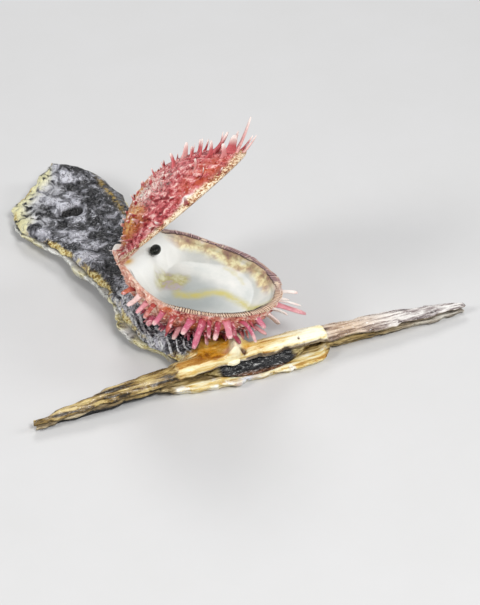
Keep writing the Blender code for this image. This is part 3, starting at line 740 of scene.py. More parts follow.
# The far rim, which the photograph hides, and the rows below the first: degrees, place, length, width
OTHER_SPINES = (
    (-36, 0.94, 8, 2.4), (-44, 0.95, 8, 2.4), (-52, 0.93, 9, 2.6), (-64, 0.95, 8, 2.4), (-77, 0.93, 9, 2.6),
    (-91, 0.95, 7, 2.4), (-106, 0.93, 8, 2.6), (-121, 0.95, 6, 2.4), (104, 0.84, 6, 3.0), (80, 0.82, 7, 3.0),
    (58, 0.80, 7, 3.0), (34, 0.80, 7, 3.0), (8, 0.80, 8, 3.0), (-22, 0.80, 8, 3.0), (-52, 0.80, 7, 3.0),
    (-85, 0.80, 6, 3.0),
)
HINGE_LUMP_AT = 157
HINGE_LUMP = 4.6
SMALL_SPINE_STEP = 9.3
RIM_TEETH = 210
RIM_BEAD = (2.0, 0.5)
RIM_BEAD_INSET = 0.026
CRUST_SCALES = 700
EAR_AT = (9.5, -3.4, -0.2)
EAR_HALF = (4.0, 3.6, 2.9)


def valve_frame(valve):
    """Unit vectors of a valve's plane: along the hinge, from the hinge to the lips, and upward."""
    across, to_lips = unit(HINGE_LINE), valve[0]
    lips = unit(np.array(to_lips) - np.dot(to_lips, across) * across)
    return across, lips, np.cross(across, lips)


def oval(angle, half_length):
    """From the valve's middle to its rim: an ellipse with two ears, cut straight along the hinge."""
    s, c = np.sin(angle), np.cos(angle)
    radius = 1 / np.sqrt((s / HALF_WIDTH) ** 2 + (c / half_length) ** 2)
    radius = radius + EAR * bump(np.abs(angle) - 2.68, 0.13)
    return np.minimum(radius, HINGE_TO_MIDDLE / np.maximum(-c, 1e-3))


def plan_of(angle, share, half_length):
    """a along the hinge and v from the hinge to the lips, of a point this share of the way out to the rim."""
    radius = oval(angle, half_length) * share
    v = HINGE_TO_MIDDLE + radius * np.cos(angle)
    return radius * np.sin(angle) + LEAN * ease(v / HINGE_TO_MIDDLE), v


def cup_outside(angle, share):
    """A dome about the middle, with radial ribs, growth steps, and the beak behind the hinge."""
    a, v = plan_of(angle, share, LOWER_HALF_LENGTH)
    back = ease((-np.cos(angle) - 0.80) / 0.16) * bump(share - 0.88, 0.10)
    depth = 0.8 * ease((1 - share) * 14) + LOWER_DEPTH * np.clip(1 - share**2.6, 0, 1) ** 0.75
    depth = depth - 4.5 * back
    ribs = RIB_HEIGHT * np.cos(angle * RIB_COUNT) * ease((share - 0.5) / 0.4)
    fine = 0.22 * np.cos(angle * RIB_COUNT * 4) * ease((share - 0.6) / 0.3)
    steps = 0.5 * rough(a / 4, v / 4, share * 9, 1.2, 91, 3) * ease((1 - share) * 12)
    lump = bump(np.degrees(angle) - HINGE_LUMP_AT, 13) * bump(share - 0.9, 0.14)
    lump = lump * (1 + 0.35 * rough(a, v, depth, 4, 97, 3))
    out = (ribs + fine) * (1 - back) + steps
    v = v - BEAK * back - 0.35 * HINGE_LUMP * lump + out * np.cos(angle)
    return a + (out + 0.4 * HINGE_LUMP * lump) * np.sin(angle), v, depth - 1.3 * HINGE_LUMP * lump


def cup_inside(angle, share):
    """A broad rim, the flat plate at the hinge with the ligament's pit, and the bowl with the muscle scar."""
    a, v = plan_of(angle, share, LOWER_HALF_LENGTH)
    inner = np.clip(share / (1 - RIM_WIDTH), 0, 1)
    depth = BOWL_DEPTH * np.clip(1 - inner**3.0, 0, 1) ** 0.8 * ease((v - 3) / 15)
    depth = depth + 0.5 * ease((1 - share) / RIM_WIDTH)
    depth = depth + 2.4 * bump(a - PAD_AT[0], 5) * bump(v - PAD_AT[1], 4.5)
    swell = 0.35 * rough(a, v, 0, 12, 92, 2) * ease((1 - share) * 6)
    return a, v, depth + swell - 0.35 * scar_share(a, v)


def scar_share(a, v):
    """1 on the muscle scar, an oval that lies slantwise in the bowl, 0 off it."""
    along = ((a - SCAR_AT[0]) * -0.79 + (v - SCAR_AT[1]) * 0.61) / SCAR_HALF[0]
    across = ((a - SCAR_AT[0]) * 0.61 + (v - SCAR_AT[1]) * 0.79) / SCAR_HALF[1]
    return ease((1.15 - np.hypot(along, across) + 0.16 * rough(a, v, 0, 5, 93, 3)) / 0.45)


def line_share(a, v, route, half):
    """1 on a smooth line through the route's points, 0 from this half width on."""
    spots = through(route, np.linspace(0, 1, 60))
    away = np.sqrt(((np.stack([a, v], axis=-1)[:, None] - spots) ** 2).sum(-1)).min(axis=1)
    return ease(1 - (away + 0.5 * rough(a, v, 0, 3, 94, 3)) / half)


def placed(a, v, depth, valve):
    """From a valve's own measures, its depth counted to its own side, to the object's."""
    side, lift = valve[1:]
    across, lips, normal = valve_frame(valve)
    origin = np.array(SPINY_HINGE) + lift * valve_frame(LOWER_VALVE)[2]
    return origin + a[:, None] * across + v[:, None] * lips + side * depth[:, None] * normal


def bed_height(x, y):
    """The height that the hammer oyster's upper face nowhere passes under the spiny oyster."""
    return seam_height(x, y) + EDGE_THICK + UPPER_THICK + RIDGE_WAVE + 0.8


def spines_from(bases, ways, bows, flats, widths, tips, ring=8, steps=7):
    """Strap-like spines, each an ellipse carried along a bent path.

    The path is base + way t + bow t t. The strap's width narrows to its tip share, its thickness is under
    half the width, a groove runs up its inner face, and the end is rounded. Returns points, faces and t."""
    t = np.append(-0.12, np.linspace(0, 1, steps - 1) ** 0.85)
    wide = np.interp(t, (-0.12, 0, 0.2, 0.45, 0.9, 1.0), (1.5, 1.25, 0.98, 0.88, 0.85, 0.5))
    turn = np.arange(ring) * 2 * math.pi / ring
    s = t[None, :, None]
    centre = bases[:, None] + ways[:, None] * s + bows[:, None] * s**2
    heading = unit(ways[:, None] + 2 * bows[:, None] * s)
    side = unit(flats[:, None] - (flats[:, None] * heading).sum(-1, keepdims=True) * heading)
    face = np.cross(heading, side)
    narrow = 1 + (tips[:, None] - 1) * np.clip(t, 0, 1)
    half = (widths[:, None] / 2 * wide * narrow)[..., None, None]
    groove = 0.25 * np.maximum(np.sin(turn), 0) ** 4
    rings = side[:, :, None] * half * np.cos(turn)[:, None]
    rings = rings + face[:, :, None] * half * (0.42 * np.sin(turn) - groove)[:, None]
    points = (centre[:, :, None] + rings).reshape(-1, 3)
    index = np.arange(ring * steps).reshape(steps, ring)
    ends = np.array([index[0, ::-1], index[-1]])
    step = (np.arange(len(bases)) * ring * steps)[:, None, None]
    faces = (quads_of(index, ring=True) + step).reshape(-1, 4).tolist()
    faces += (ends + step).reshape(-1, ring).tolist()
    return points, faces, np.tile(np.clip(t, 0, 1).repeat(ring), len(bases))


def cup_spines():
    """The listed spines, and short random ones down the ribs between them.

    A spine points out from the middle, turned along the rim by its lean and down by its drop."""
    chance = np.random.default_rng(5)
    many = len(OTHER_SPINES)
    leans, drops = chance.normal(0, 8, many), chance.normal(25, 6, many)
    hidden = np.column_stack([OTHER_SPINES, leans, drops, chance.uniform(0.1, 0.9, many)])
    rib, row = [each.ravel() for each in np.meshgrid(np.arange(-14, 15), np.arange(3))]
    many = len(rib)
    small = np.column_stack([
        rib * SMALL_SPINE_STEP + chance.uniform(-4, 4, many),
        0.62 + 0.09 * row + chance.uniform(-0.03, 0.03, many),
        chance.uniform(2.0, 5.0, many), chance.uniform(1.2, 2.4, many), chance.normal(0, 15, many),
        chance.normal(32, 10, many), chance.uniform(0.1, 0.55, many),
    ])
    every = np.concatenate([SHOWN_SPINES, hidden, small[np.abs(small[:, 0]) < 132]])
    degrees, share, length, width, lean, drop, tone = every.T
    many = len(every)
    angle, lean, drop = np.radians([degrees, lean, drop])
    across, lips, normal = valve_frame(LOWER_VALVE)
    base = placed(*cup_outside(angle, share), LOWER_VALVE)
    out = across * np.sin(angle + lean)[:, None] + lips * np.cos(angle + lean)[:, None]
    reach = out * np.cos(drop)[:, None] - normal * np.sin(drop)[:, None]
    bow = (0.12 * chance.normal(size=(many, 3)) - 0.1 * normal) * length[:, None]
    flat = unit(np.cross(reach, normal) + 0.35 * chance.normal(size=(many, 3)))
    long_tip, short_tip = chance.uniform(0.85, 1.15, many), chance.uniform(0.4, 0.9, many)
    tip = np.where(length > 5, long_tip, short_tip)
    points, faces, along = spines_from(base, reach * length[:, None] - bow, bow, flat, width, tip)
    return points, faces, along, tone.repeat(len(points) // many)


def skin_frame(outside, angle, share, valve):
    """These places on a valve's outside, and unit ways there: towards the rim, along the rim, and outward."""
    here = placed(*outside(angle, share), valve)
    growth = unit(placed(*outside(angle, share + 0.03), valve) - here)
    aside = unit(placed(*outside(angle + 0.05, share), valve) - here)
    out = unit(np.cross(aside, growth))
    return here, growth, aside, out * np.sign(valve[1] * (out @ valve_frame(valve)[2]))[:, None]


def with_scales(shell, outside, places, valve, size, chance):
    """A shell, given as points, faces, angle and level, with small blunt scales at these outside places.

    Each leans over the shell towards the rim. Returns the points and faces of both together, and for each
    point its angle, its share of the way to the rim, whether it is inside, and its height up the scale."""
    points, faces, angle, level = shell
    at, share = np.radians(places[0]), places[1]
    many = len(at)
    here, growth, aside, out = skin_frame(outside, at, share, valve)
    length = size * chance.uniform(0.7, 1.7, many)
    reach = unit(out + chance.uniform(0.6, 1.8, many)[:, None] * growth) * length[:, None]
    flat = unit(aside + 0.3 * chance.normal(size=(many, 3)))
    width, tip = size * chance.uniform(0.7, 1.6, many), chance.uniform(0.5, 0.9, many)
    scales, scale_faces, along = spines_from(here, reach, 0 * reach, flat, width, tip, 6, 3)
    each = len(scales) // many
    points, faces = joined((points, faces), (scales, scale_faces))
    angle, share = np.append(angle, at.repeat(each)), np.append(1 - np.abs(level), share.repeat(each))
    return points, faces, angle, share, np.append(level >= 0, 0 * along), np.append(0 * level, along)


def hinge_ear():
    """A lump at the hinge's left end: a ball stretched to EAR_HALF and roughened, as points and faces."""
    ball, faces = round_ball(36, 10)
    ball = ball[:, [1, 0, 2]] * EAR_HALF
    grow = 1 + 0.16 * rough(*(ball + EAR_AT).T, 3, 97, 3)
    return placed(*(ball * grow[:, None] + EAR_AT).T, LOWER_VALVE), faces


def rim_beads():
    """The toothed margin: a flattened ring carried round the rim, swelling once for each tooth.

    Its half width and height are RIM_BEAD times 0.62 plus 0.38 of a wave with RIM_TEETH crests. Returns the
    points, the faces, and for each point its angle, the wave, and 1 where it faces the bowl."""
    turns = np.arange(8) * math.pi / 4
    angles = np.linspace(-math.pi, math.pi, RIM_TEETH * 6, endpoint=False)
    angle, turn = [each.ravel() for each in np.meshgrid(angles, turns, indexing="ij")]
    tooth = 0.5 + 0.5 * np.cos(angle * RIM_TEETH + 3.0 * rough(angle * 16, 0, 0, 1, 99, 2))
    behind = ease((-np.cos(angle) - 0.78) / 0.1)
    size = (0.62 + 0.38 * tooth) * (1 + 0.3 * rough(angle * 6, 0, 0, 1, 98, 2)) * (1 - behind)
    size = size * (0.3 + 0.7 * ease((112 - np.degrees(angle)) / 40))
    a, v = plan_of(angle, 1 - RIM_BEAD_INSET, LOWER_HALF_LENGTH)
    a = a + RIM_BEAD[0] * size * np.cos(turn) * np.sin(angle)
    v = v + RIM_BEAD[0] * size * np.cos(turn) * np.cos(angle)
    depth = 0.35 + 1.2 * behind - RIM_BEAD[1] * size * np.sin(turn)
    index = np.arange(len(angle)).reshape(len(angles), len(turns))
    faces = quads_of(np.vstack([index, index[:1]]), ring=True).tolist()
    inner_side = ease((-np.cos(turn) - 0.6 + 0.42 * ease(np.degrees(angle) / 30)) / 0.4)
    return placed(a, v, depth, LOWER_VALVE), faces, angle, tooth, inner_side


angle, level, faces = closed_ball(CUP_COLUMNS, CUP_RINGS)
share = 1 - np.abs(level)
outside = placed(*cup_outside(angle, share), LOWER_VALVE)
inside = placed(*cup_inside(angle, share), LOWER_VALVE)
bed = bed_height(outside[:, 0], outside[:, 1]) + GAP
outside[:, 2] = np.maximum(outside[:, 2], bed - 1.0)
inside[:, 2] = np.maximum(inside[:, 2], bed + SHELL_WALL)
shell = np.where(level[:, None] < 0, outside, inside), faces, angle, level
chance = np.random.default_rng(15)
places = chance.uniform(-138, 146, CRUST_SCALES), chance.uniform(0.74, 0.99, CRUST_SCALES)
points, faces, angle, share, within, tip = with_scales(shell, cup_outside, places, LOWER_VALVE, 1, chance)
a, v = plan_of(angle, share, LOWER_HALF_LENGTH)
degrees = np.degrees(angle)
far = ease((-degrees - 10) / 25) * ease((150 + degrees) / 25)
wobble = 0.035 * rough(a, v, 0, 7, 95, 3)
toothed = ease((146 - np.abs(degrees)) / 10)
shell_marks = {
    "inside": within,
    "tip": tip,
    "share": share,
    "scar": within * scar_share(a, v),
    "pallial": within * line_share(a, v, PALLIAL_LINE, 4.2),
    "faint": within * line_share(a, v, FAINT_LINE, 1.6),
    "plate": within * ease((17 - v) / 9),
    "stain": within * far * ease((share - 0.80 + wobble) / 0.08),
    "margin": within * ease((share - 0.9) / 0.05) * toothed,
    "peach": ease((degrees - 88) / 20) * ease(np.where(within, (share - 0.93) / 0.02, (share - 0.72) / 0.2)),
    "line": within * bump(share - 0.902, 0.011) * toothed * (0.35 + 0.65 * ease((degrees + 10) / 40)),
    # Grey towards the bowl's middle, away from the rim: painted shade
    "grey": within * ease((0.66 - share + 2 * wobble) / 0.5),
    "yellow": within * bump(degrees - 153, 5) * bump(share - 0.92, 0.05),
    "hinge": (1 - within) * ease((7 - v) / 6),
    "near": ease(degrees / 60) * ease((160 - degrees) / 25),
}
shell_marks["pallial"] = np.maximum(shell_marks["pallial"], 0.6 * shell_marks.pop("faint"))
spines, spine_faces, along_spine, tone = cup_spines()
beads, bead_faces, bead_angle, tooth, inner_side = rim_beads()
ear, ear_faces = hinge_ear()
peach_bead = ease((np.degrees(bead_angle) - 84) / 20)
groups = len(points), len(spines), len(beads), len(ear)
marks = {
    name: by_group(groups, values, 0, 0, name in ("hinge", "share")) for name, values in shell_marks.items()
}
marks["spine"] = by_group(groups, 0, along_spine + 0.001, 0, 0)
marks["tone"] = by_group(groups, 0, tone, 0, 0)
marks["bead"] = by_group(groups, 0, 0, 1 + tooth, 0)
marks["inner_side"] = by_group(groups, 0, 0, inner_side * (1 - peach_bead), 0)
marks["peach_bead"] = by_group(groups, 0, 0, peach_bead, 0)
marks["far_bead"] = by_group(groups, 0, 0, ease((-4 - np.degrees(bead_angle)) / 26), 0)
points, faces = joined((points, faces), (spines, spine_faces), (beads, bead_faces), (ear, ear_faces))
cup = shell_from("lower_valve_of_spiny_oyster", points, faces, marks)

material, tree, shader = new_finish("porcelain_and_rose_shell")
blots = speckle(tree, 6, 21.0, detail=7)
grit = speckle(tree, 0.9, 22.0, detail=5)
soft = speckle(tree, 16, 23.0, detail=4)
fine = speckle(tree, 1.8, 24.0, detail=7, distort=0.6)
# Outside: rose and salmon, orange on the near side, painted shade in dark crimson deep between the spines,
# pale on scales and ear
rose_tone = plus(tree, fine, (blots, 0.5))
rose = grade(
    tree, rose_tone, (0.6, 0.3, 0.03, 0.035), (0.7, 0.62, 0.17, 0.13), (0.8, 0.8, 0.42, 0.34),
    (0.9, 0.92, 0.78, 0.68),
)
rose = paint(
    tree, rose, ((0.66, 0.17, 0.05), "near", soft, 0.45, 0.65),
    # Dark crimson below the rim: painted shade deep between the spines
    ((0.17, 0.01, 0.02), window(tree, "share", 0.93, 0.78)),
    ((0.9, 0.78, 0.7), "tip", fine, 0.45, 0.6), ((0.9, 0.84, 0.78), "hinge", blots, 0.3, 0.5),
)
# Inside: white, grey deep in the bowl as painted shade, the scar, the olive pallial line, and the stained far
# side under a dark line
white = grade(tree, soft, (0.3, 0.5, 0.52, 0.5), (0.6, 0.66, 0.65, 0.615))
scar = grade(tree, blots, (0.38, 0.42, 0.34, 0.38), (0.5, 0.42, 0.38, 0.16), (0.64, 0.62, 0.6, 0.42))
tan = grade(
    tree, blots, (0.36, 0.36, 0.2, 0.16), (0.47, 0.62, 0.46, 0.26), (0.56, 0.9, 0.82, 0.5),
    (0.66, 0.95, 0.9, 0.76),
)
white = paint(
    tree, white, ((0.35, 0.375, 0.37), "grey", soft, 0.0, 0.5), ((0.9, 0.9, 0.87), "plate"),
    (scar, "scar", soft, 0.2, 0.5), ((0.5, 0.44, 0.14), "pallial", blots, 0.2, 0.6), (tan, "stain"),
    ((0.85, 0.5, 0.08), "yellow"), ((0.42, 0.24, 0.18), "margin", blots, 0.3, 0.6),
    ((0.035, 0.015, 0.012), "line", soft, 0.3, 0.5),
)
peaches = grade(tree, rose_tone, (0.62, 0.5, 0.16, 0.1), (0.74, 0.78, 0.4, 0.3), (0.86, 0.92, 0.72, 0.58))
spine_rose = grade(
    tree, "tone", (0.0, 0.52, 0.13, 0.06), (0.32, 0.36, 0.03, 0.06), (0.58, 0.6, 0.13, 0.22),
    (0.78, 0.78, 0.38, 0.38), (1.0, 0.88, 0.8, 0.74),
)
spine_rose = paint(
    tree, spine_rose, ((0.86, 0.62, 0.56), window(tree, "spine", 0.55, 1.0), blots, 0.4, 0.6),
    ((0.85, 0.5, 0.52), window(tree, "tone", 0.95, 0.6), fine, 0.52, 0.68),
)
# Spines darken to deep crimson towards their bases, the whiter ones less: painted shade where they stand
# close on the shell
spine_base_shade = window(tree, plus(tree, "spine", ("tone", 0.35)), 0.0, 0.5)
spine_rose = paint(tree, (0.36, 0.04, 0.035), (spine_rose, spine_base_shade))
tooth = times(tree, "bead", 0.5)
teeth = grade(tree, tooth, (0.55, 0.1, 0.035, 0.025), (0.72, 0.42, 0.2, 0.13), (0.9, 0.8, 0.62, 0.44))
mauve_teeth = grade(
    tree, tooth, (0.55, 0.04, 0.015, 0.02), (0.75, 0.24, 0.11, 0.12), (0.95, 0.55, 0.36, 0.34)
)
mauve_teeth = paint(tree, mauve_teeth, ((0.72, 0.56, 0.42), window(tree, blots, 0.52, 0.62)))
teeth = paint(tree, teeth, (mauve_teeth, "far_bead"))
colour = paint(
    tree, rose, (white, "inside"), (peaches, "peach"), (spine_rose, window(tree, "spine", 0.0, 0.0005)),
    (teeth, window(tree, "bead", 0.5, 0.9)), (peaches, "peach_bead"), ((0.02, 0.01, 0.01), "inner_side"),
)
normal = relief(tree, (grit, 0.12), (times(tree, fine, plus(tree, 1.0, ("inside", -1))), 0.7))
roughness = node(tree, "Mix", {0: "inside", 2: 0.45, 3: 0.36}).outputs[0]
finish_shell(cup, material, shader, colour, roughness, normal)
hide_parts("spiny_oyster_lower_valve")

# Spiny oyster, inner ligament
# A dark elastic pad in its pit at the middle of the hinge plate, glossy and slightly domed on top.

PAD_HALF = (3.5, 2.4, 2.2)
PAD_DEPTH = 1.25

ball, faces = round_ball(48, 12)
a, v, depth = (ball[:, [1, 0, 2]] * PAD_HALF + (*PAD_AT, PAD_DEPTH)).T
points = placed(a, v, depth + 0.1 * rough(a, v, 0, 2, 96), LOWER_VALVE)
pad = shell_from("inner_ligament_of_spiny_oyster", points, faces, {})
material, tree, shader = new_finish("glossy_black_pad")
shader.inputs["Specular IOR Level"].default_value = 0.25
blots = speckle(tree, 1.6, 31.0, detail=4)
colour = grade(tree, blots, (0.45, 0.004, 0.005, 0.004), (0.7, 0.03, 0.035, 0.028))
roughness, normal = window(tree, blots, -0.6, 3.0), relief(tree, (blots, 0.2))
finish_shell(pad, material, shader, colour, roughness, normal)
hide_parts("spiny_oyster_ligament")

# Spiny oyster, upper valve
# Curved like a hood and standing open on the hinge: rose and crimson outside, with fine scaly ribs and
# spines that are tallest at the crest, porcelain inside, and a cream and rust rim.

UPPER_VALVE = ((0.609, -0.335, 0.719), 1, 0.9)
UPPER_HALF_LENGTH = 41.5
UPPER_CURL = 0.95
UPPER_INNER_CURL = 0.78
HOOD_COLUMNS = 300
HOOD_RINGS = 90
HOOD_RIBS = 46
HOOD_SCALES = 1100
# The tall spines of the crest: degrees round the rim from the lips, place, length, width, degrees that they
# rise from the valve's plane, and tone from crimson (0) to white (1)
CREST_SPINES = (
    (9, 0.67, 5.5, 4.0, 63, 0.45), (-3, 0.70, 7, 3.6, 40, 0.8), (-2, 0.745, 4.5, 3.0, 47, 0.5),
    (-2, 0.79, 7, 3.6, 40, 0.4), (3, 0.85, 7, 3.4, 42, 0.45), (-6, 0.86, 10, 6.0, 18, 0.35),
    (4, 0.92, 6, 3.4, 50, 0.6), (-4, 0.93, 8, 6.0, 34, 0.3), (-10, 0.95, 16, 4.4, 27, 0.75),
    (-13, 0.98, 9, 3.0, 14, 0.9), (16, 0.56, 4, 2.2, 70, 0.5), (8, 0.60, 3.5, 2.2, 69, 0.7),
    (37, 0.42, 3, 2.0, 74, 0.4), (-20, 0.86, 8, 3.0, 35, 0.4), (-30, 0.93, 9, 3.0, 30, 0.5),
    (-24, 0.76, 6, 2.8, 45, 0.3),
)
# Dark pits of the outside, painted as spots of shade: degrees round the rim, place, and spread
DARK_PITS = ((54, 0.76, 0.035), (51, 0.82, 0.035), (69, 0.90, 0.022), (44, 0.7, 0.018), (62, 0.7, 0.02))


def hood(angle, share, half_length, curl, inset, start):
    """The rim, shrunk towards the beak by share and curled about the hinge by curl times one minus share."""
    a, v = plan_of(angle, np.ones_like(angle), half_length - inset)
    a = a * (1 - inset / HALF_WIDTH)
    v = np.maximum(v, inset * 0.8)
    curled = ease((v - inset) / 9) * curl * (1 - share)
    dv, dd = v - start[0], -start[1]
    out_v = start[0] + share * (dv * np.cos(curled) - dd * np.sin(curled))
    out_d = start[1] + share * (dv * np.sin(curled) + dd * np.cos(curled))
    return a * share, out_v, out_d


def hood_outside(angle, share):
    """The outside, without its ribs, rounded off at the rim."""
    a, v, depth = hood(angle, share, UPPER_HALF_LENGTH, UPPER_CURL, 0.0, (-1.5, 2.0))
    return a, v, depth + 0.6 * ease((1 - share) * 12)


def hood_relief(angle, share):
    """Fine ribs, broken across by growth scales: how far the outside stands out."""
    ribs = 0.25 * np.cos(angle * HOOD_RIBS) * ease((share - 0.2) / 0.3)
    scales = 0.3 * rough(angle * 30, share * 45, 0, 1.6, 101, 2)
    return (ribs + scales) * ease((1 - share) * 14)


def hood_inside(angle, share):
    """The inside, less curled than the outside and a little way in from it."""
    return hood(angle, share, UPPER_HALF_LENGTH, UPPER_INNER_CURL, 2.2, (4.0, 1.0))


def hood_spines():
    """The crest's tall spines, and rows of short ones on the ribs."""
    chance = np.random.default_rng(9)
    rib, row = np.repeat(np.arange(-8, 9), 5), np.tile(np.arange(5), 17)
    degrees = rib * 17 + 6 * np.sin(rib * 2.1)
    share = np.minimum(0.40 + 0.14 * row + 0.05 * np.sin(rib * 3.7 + row), 0.97)
    length = 1.5 + 5.5 * share**3 * (1.2 + np.sin(rib * 5.3 + row * 2.7))
    on_crest = (np.abs(degrees + 5) < 12) & (share > 0.62)
    kept = (np.abs(degrees) < 128) & ~on_crest & ((degrees < 80) | (share > 0.6))
    angle, share, length = np.radians(degrees[kept]), share[kept], length[kept]
    here, growth, aside, out = skin_frame(hood_outside, angle, share, UPPER_VALVE)
    reach = unit(out + 0.55 * growth) * length[:, None]
    tall_degrees, tall_share, tall_length, tall_width, rise, tall_tone = np.array(CREST_SPINES).T
    tall, lean, rise = np.radians([tall_degrees, tall_degrees - 9, rise])
    across, lips, normal = valve_frame(UPPER_VALVE)
    tall_out = across * np.sin(lean)[:, None] + lips * np.cos(lean)[:, None]
    tall_reach = (tall_out * np.cos(rise)[:, None] + normal * np.sin(rise)[:, None]) * tall_length[:, None]
    base = np.concatenate([placed(*hood_outside(tall, tall_share), UPPER_VALVE), here])
    flat = np.concatenate([np.tile(across, (len(tall), 1)), aside])
    length, width = np.append(tall_length, length), np.append(tall_width, 0 * length + 2.0)
    bow = (0.12 * chance.normal(size=(len(base), 3)) + 0.1 * normal) * length[:, None]
    flat = unit(flat + 0.3 * chance.normal(size=(len(base), 3)))
    tip = np.append(chance.uniform(0.6, 0.9, len(tall)), chance.uniform(0.4, 0.8, len(here)))
    points, faces, along = spines_from(base, np.concatenate([tall_reach, reach]) - bow, bow, flat, width, tip)
    tone = np.append(tall_tone, chance.uniform(0, 0.8, len(here)))
    return points, faces, along, tone.repeat(len(points) // len(base))


angle, level, faces = closed_ball(HOOD_COLUMNS, HOOD_RINGS)
share = 1 - np.abs(level)
a, v, depth = hood_outside(angle, share)
outside = placed(a, v, depth + hood_relief(angle, share), UPPER_VALVE)
inside = placed(*hood_inside(angle, share), UPPER_VALVE)
# This valve is curved the other way from the cup, so its faces are turned over
shell = np.where(level[:, None] < 0, outside, inside), [face[::-1] for face in faces], angle, level
chance = np.random.default_rng(19)
rib, along_rib = chance.integers(-33, 34, HOOD_SCALES), chance.normal(0, 0.5, HOOD_SCALES)
places = rib * 3.9 + along_rib, 0.36 + 0.61 * np.sqrt(chance.uniform(0, 1, HOOD_SCALES))
points, faces, angle, share, within, tip = with_scales(shell, hood_outside, places, UPPER_VALVE, 0.8, chance)
degrees = np.degrees(angle)
wobble = rough(angle * 9, share * 9, 0, 2.0, 102, 3)
patch = np.hypot((degrees - 48) / 7, (share - 0.955) / 0.028)
outer_marks = {
    "orange": ease((0.56 + 0.28 * ease((degrees - 36) / 44) - share + 0.07 * wobble) / 0.14),
    "centre": bump(degrees - 25, 22) * bump(share - 0.9, 0.07),
    "crust": bump(degrees - 38, 24) * bump(share - 0.56, 0.15),
    "patch": ease(2.0 - 2 * patch + 0.7 * wobble),
    "neck": ease((degrees - 112) / 14),
    "dark_pits": sum(bump(np.hypot((angle - math.radians(d)) * s, share - s), w) for d, s, w in DARK_PITS),
}
shell_marks = {name: (1 - within) * values for name, values in outer_marks.items()} | {
    "inside": within,
    "tip": tip,
    "rim": ease((share - 0.945 + 0.012 * wobble) / 0.02),
    "rib": 0.5 + 0.5 * np.cos(angle * HOOD_RIBS),
}
spines, spine_faces, along_spine, tone = hood_spines()
groups = len(points), len(spines)
marks = {name: by_group(groups, values, 0) for name, values in shell_marks.items()}
marks["spine"] = by_group(groups, 0, along_spine + 0.001)
marks["tone"] = by_group(groups, 0, tone)
upper = shell_from("upper_valve_of_spiny_oyster", *joined((points, faces), (spines, spine_faces)), marks)

material, tree, shader = new_finish("crimson_ribbed_shell")
blots = speckle(tree, 5, 41.0, detail=8)
grit = speckle(tree, 0.8, 42.0, detail=5)
soft = speckle(tree, 18, 43.0, detail=3)
fine = speckle(tree, 2.2, 44.0, detail=8, distort=0.8)
tone = plus(tree, fine, (blots, 0.5), ("rib", 0.06))
rose = grade(
    tree, tone, (0.62, 0.13, 0.008, 0.012), (0.72, 0.4, 0.04, 0.05), (0.82, 0.62, 0.16, 0.17),
    (0.94, 0.86, 0.56, 0.5),
)
ochres = grade(tree, blots, (0.34, 0.24, 0.03, 0.008), (0.5, 0.56, 0.17, 0.03), (0.64, 0.72, 0.42, 0.14))
necks = grade(tree, tone, (0.64, 0.34, 0.1, 0.08), (0.76, 0.6, 0.26, 0.22), (0.88, 0.82, 0.6, 0.5))
rust_tone = plus(tree, grit, (blots, 0.6))
rust = grade(tree, rust_tone, (0.7, 0.22, 0.05, 0.015), (0.78, 0.62, 0.34, 0.14), (0.86, 0.88, 0.78, 0.58))
white = grade(tree, soft, (0.3, 0.84, 0.84, 0.82), (0.6, 0.92, 0.91, 0.88))
spine_rose = grade(tree, "tone", (0.0, 0.32, 0.025, 0.03), (0.45, 0.58, 0.12, 0.13), (0.9, 0.8, 0.5, 0.46))
spine_rose = paint(tree, spine_rose, ((0.88, 0.74, 0.68), window(tree, "spine", 0.45, 1.0)))
colour = paint(
    tree, rose, ((0.5, 0.075, 0.02), "centre", blots, 0.62, 0.45), (ochres, "orange"), (necks, "neck"),
    ((0.88, 0.7, 0.64), "tip", fine, 0.5, 0.62), ((0.9, 0.84, 0.74), "crust", grit, 0.45, 0.55),
    # The dark pits: painted shade standing for hollows that the mesh does not have
    ((0.93, 0.88, 0.84), "patch"), ((0.2, 0.01, 0.015), window(tree, "dark_pits", 0.3, 0.7)),
    (white, "inside"), (rust, "rim"), (spine_rose, window(tree, "spine", 0.0, 0.0005)),
)
normal = relief(tree, (grit, 0.3), (blots, 0.6))
roughness = node(tree, "Mix", {0: "inside", 2: 0.5, 3: 0.16}).outputs[0]
finish_shell(upper, material, shader, colour, roughness, normal)
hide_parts("spiny_oyster_upper_valve")

# Floor, lights and camera
# A plain pale floor and four soft round lights: one high in front, and a weaker one on each side and behind.
# The camera looks down from in front and a little to the left.

FLOOR_SIZE = 6.0
AIM = (-0.00111, -0.06473, 0.02689)
CAMERA_FROM = (-23.5, 38, 0.9)
LENS = 124.2
ROOM_COLOUR = (0.9, 0.93, 1.0, 1)
ROOM_STRENGTH = 0.26


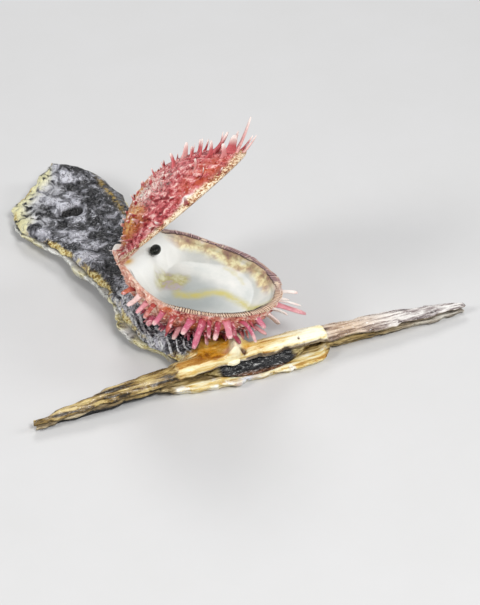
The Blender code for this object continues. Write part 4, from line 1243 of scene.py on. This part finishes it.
def look_from(azimuth, elevation, distance):
    """Place and turn of a thing that looks at AIM: degrees from the front and up, and metres away."""
    azimuth, elevation = math.radians(azimuth), math.radians(elevation)
    flat = math.cos(elevation)
    back = Vector((math.sin(azimuth) * flat, -math.cos(azimuth) * flat, math.sin(elevation)))
    return Vector(AIM) + back * distance, back.to_track_quat("Z", "Y").to_euler()


def soft_light(name, azimuth, elevation, distance, size, watts):
    """A round lamp of this size in metres, turned to AIM."""
    lamp = bpy.data.lights.new(name, "AREA")
    lamp.shape, lamp.size, lamp.energy = "DISK", size, watts
    obj = bpy.data.objects.new(name, lamp)
    obj.location, obj.rotation_euler = look_from(azimuth, elevation, distance)
    bpy.context.scene.collection.objects.link(obj)


half = FLOOR_SIZE / 2
floor_mesh = bpy.data.meshes.new("floor")
corners = [(-half, -half, 0), (half, -half, 0), (half, half, 0), (-half, half, 0)]
floor_mesh.from_pydata(corners, [], [(0, 1, 2, 3)])
floor = bpy.data.objects.new("floor", floor_mesh)
bpy.context.scene.collection.objects.link(floor)
material, tree, shader = new_finish("pale_floor")
grain = speckle(tree, 40, 51.0)
colour = grade(tree, grain, (0.2, 0.58, 0.575, 0.565), (0.8, 0.6, 0.595, 0.59))
tree.links.new(colour, shader.inputs["Base Color"])
shader.inputs["Roughness"].default_value = 0.7
floor.data.materials.append(material)

soft_light("window_light", 5, 52, 1.1, 0.35, 8.0)
soft_light("left_light", -85, 34, 1.2, 0.4, 6.5)
soft_light("right_light", 70, 30, 1.2, 0.5, 4.0)
soft_light("back_light", 165, 40, 1.2, 0.4, 4.5)
room = bpy.data.worlds.new("room")
room.use_nodes = True
room.node_tree.nodes["Background"].inputs["Color"].default_value = ROOM_COLOUR
room.node_tree.nodes["Background"].inputs["Strength"].default_value = ROOM_STRENGTH
bpy.context.scene.world = room

camera = bpy.data.objects.new("camera", bpy.data.cameras.new("camera"))
camera.data.lens = LENS
camera.data.clip_start = 0.01
camera.location, camera.rotation_euler = look_from(*CAMERA_FROM)
bpy.context.scene.collection.objects.link(camera)
bpy.context.scene.camera = camera
bpy.context.scene.view_settings.view_transform = "Standard"
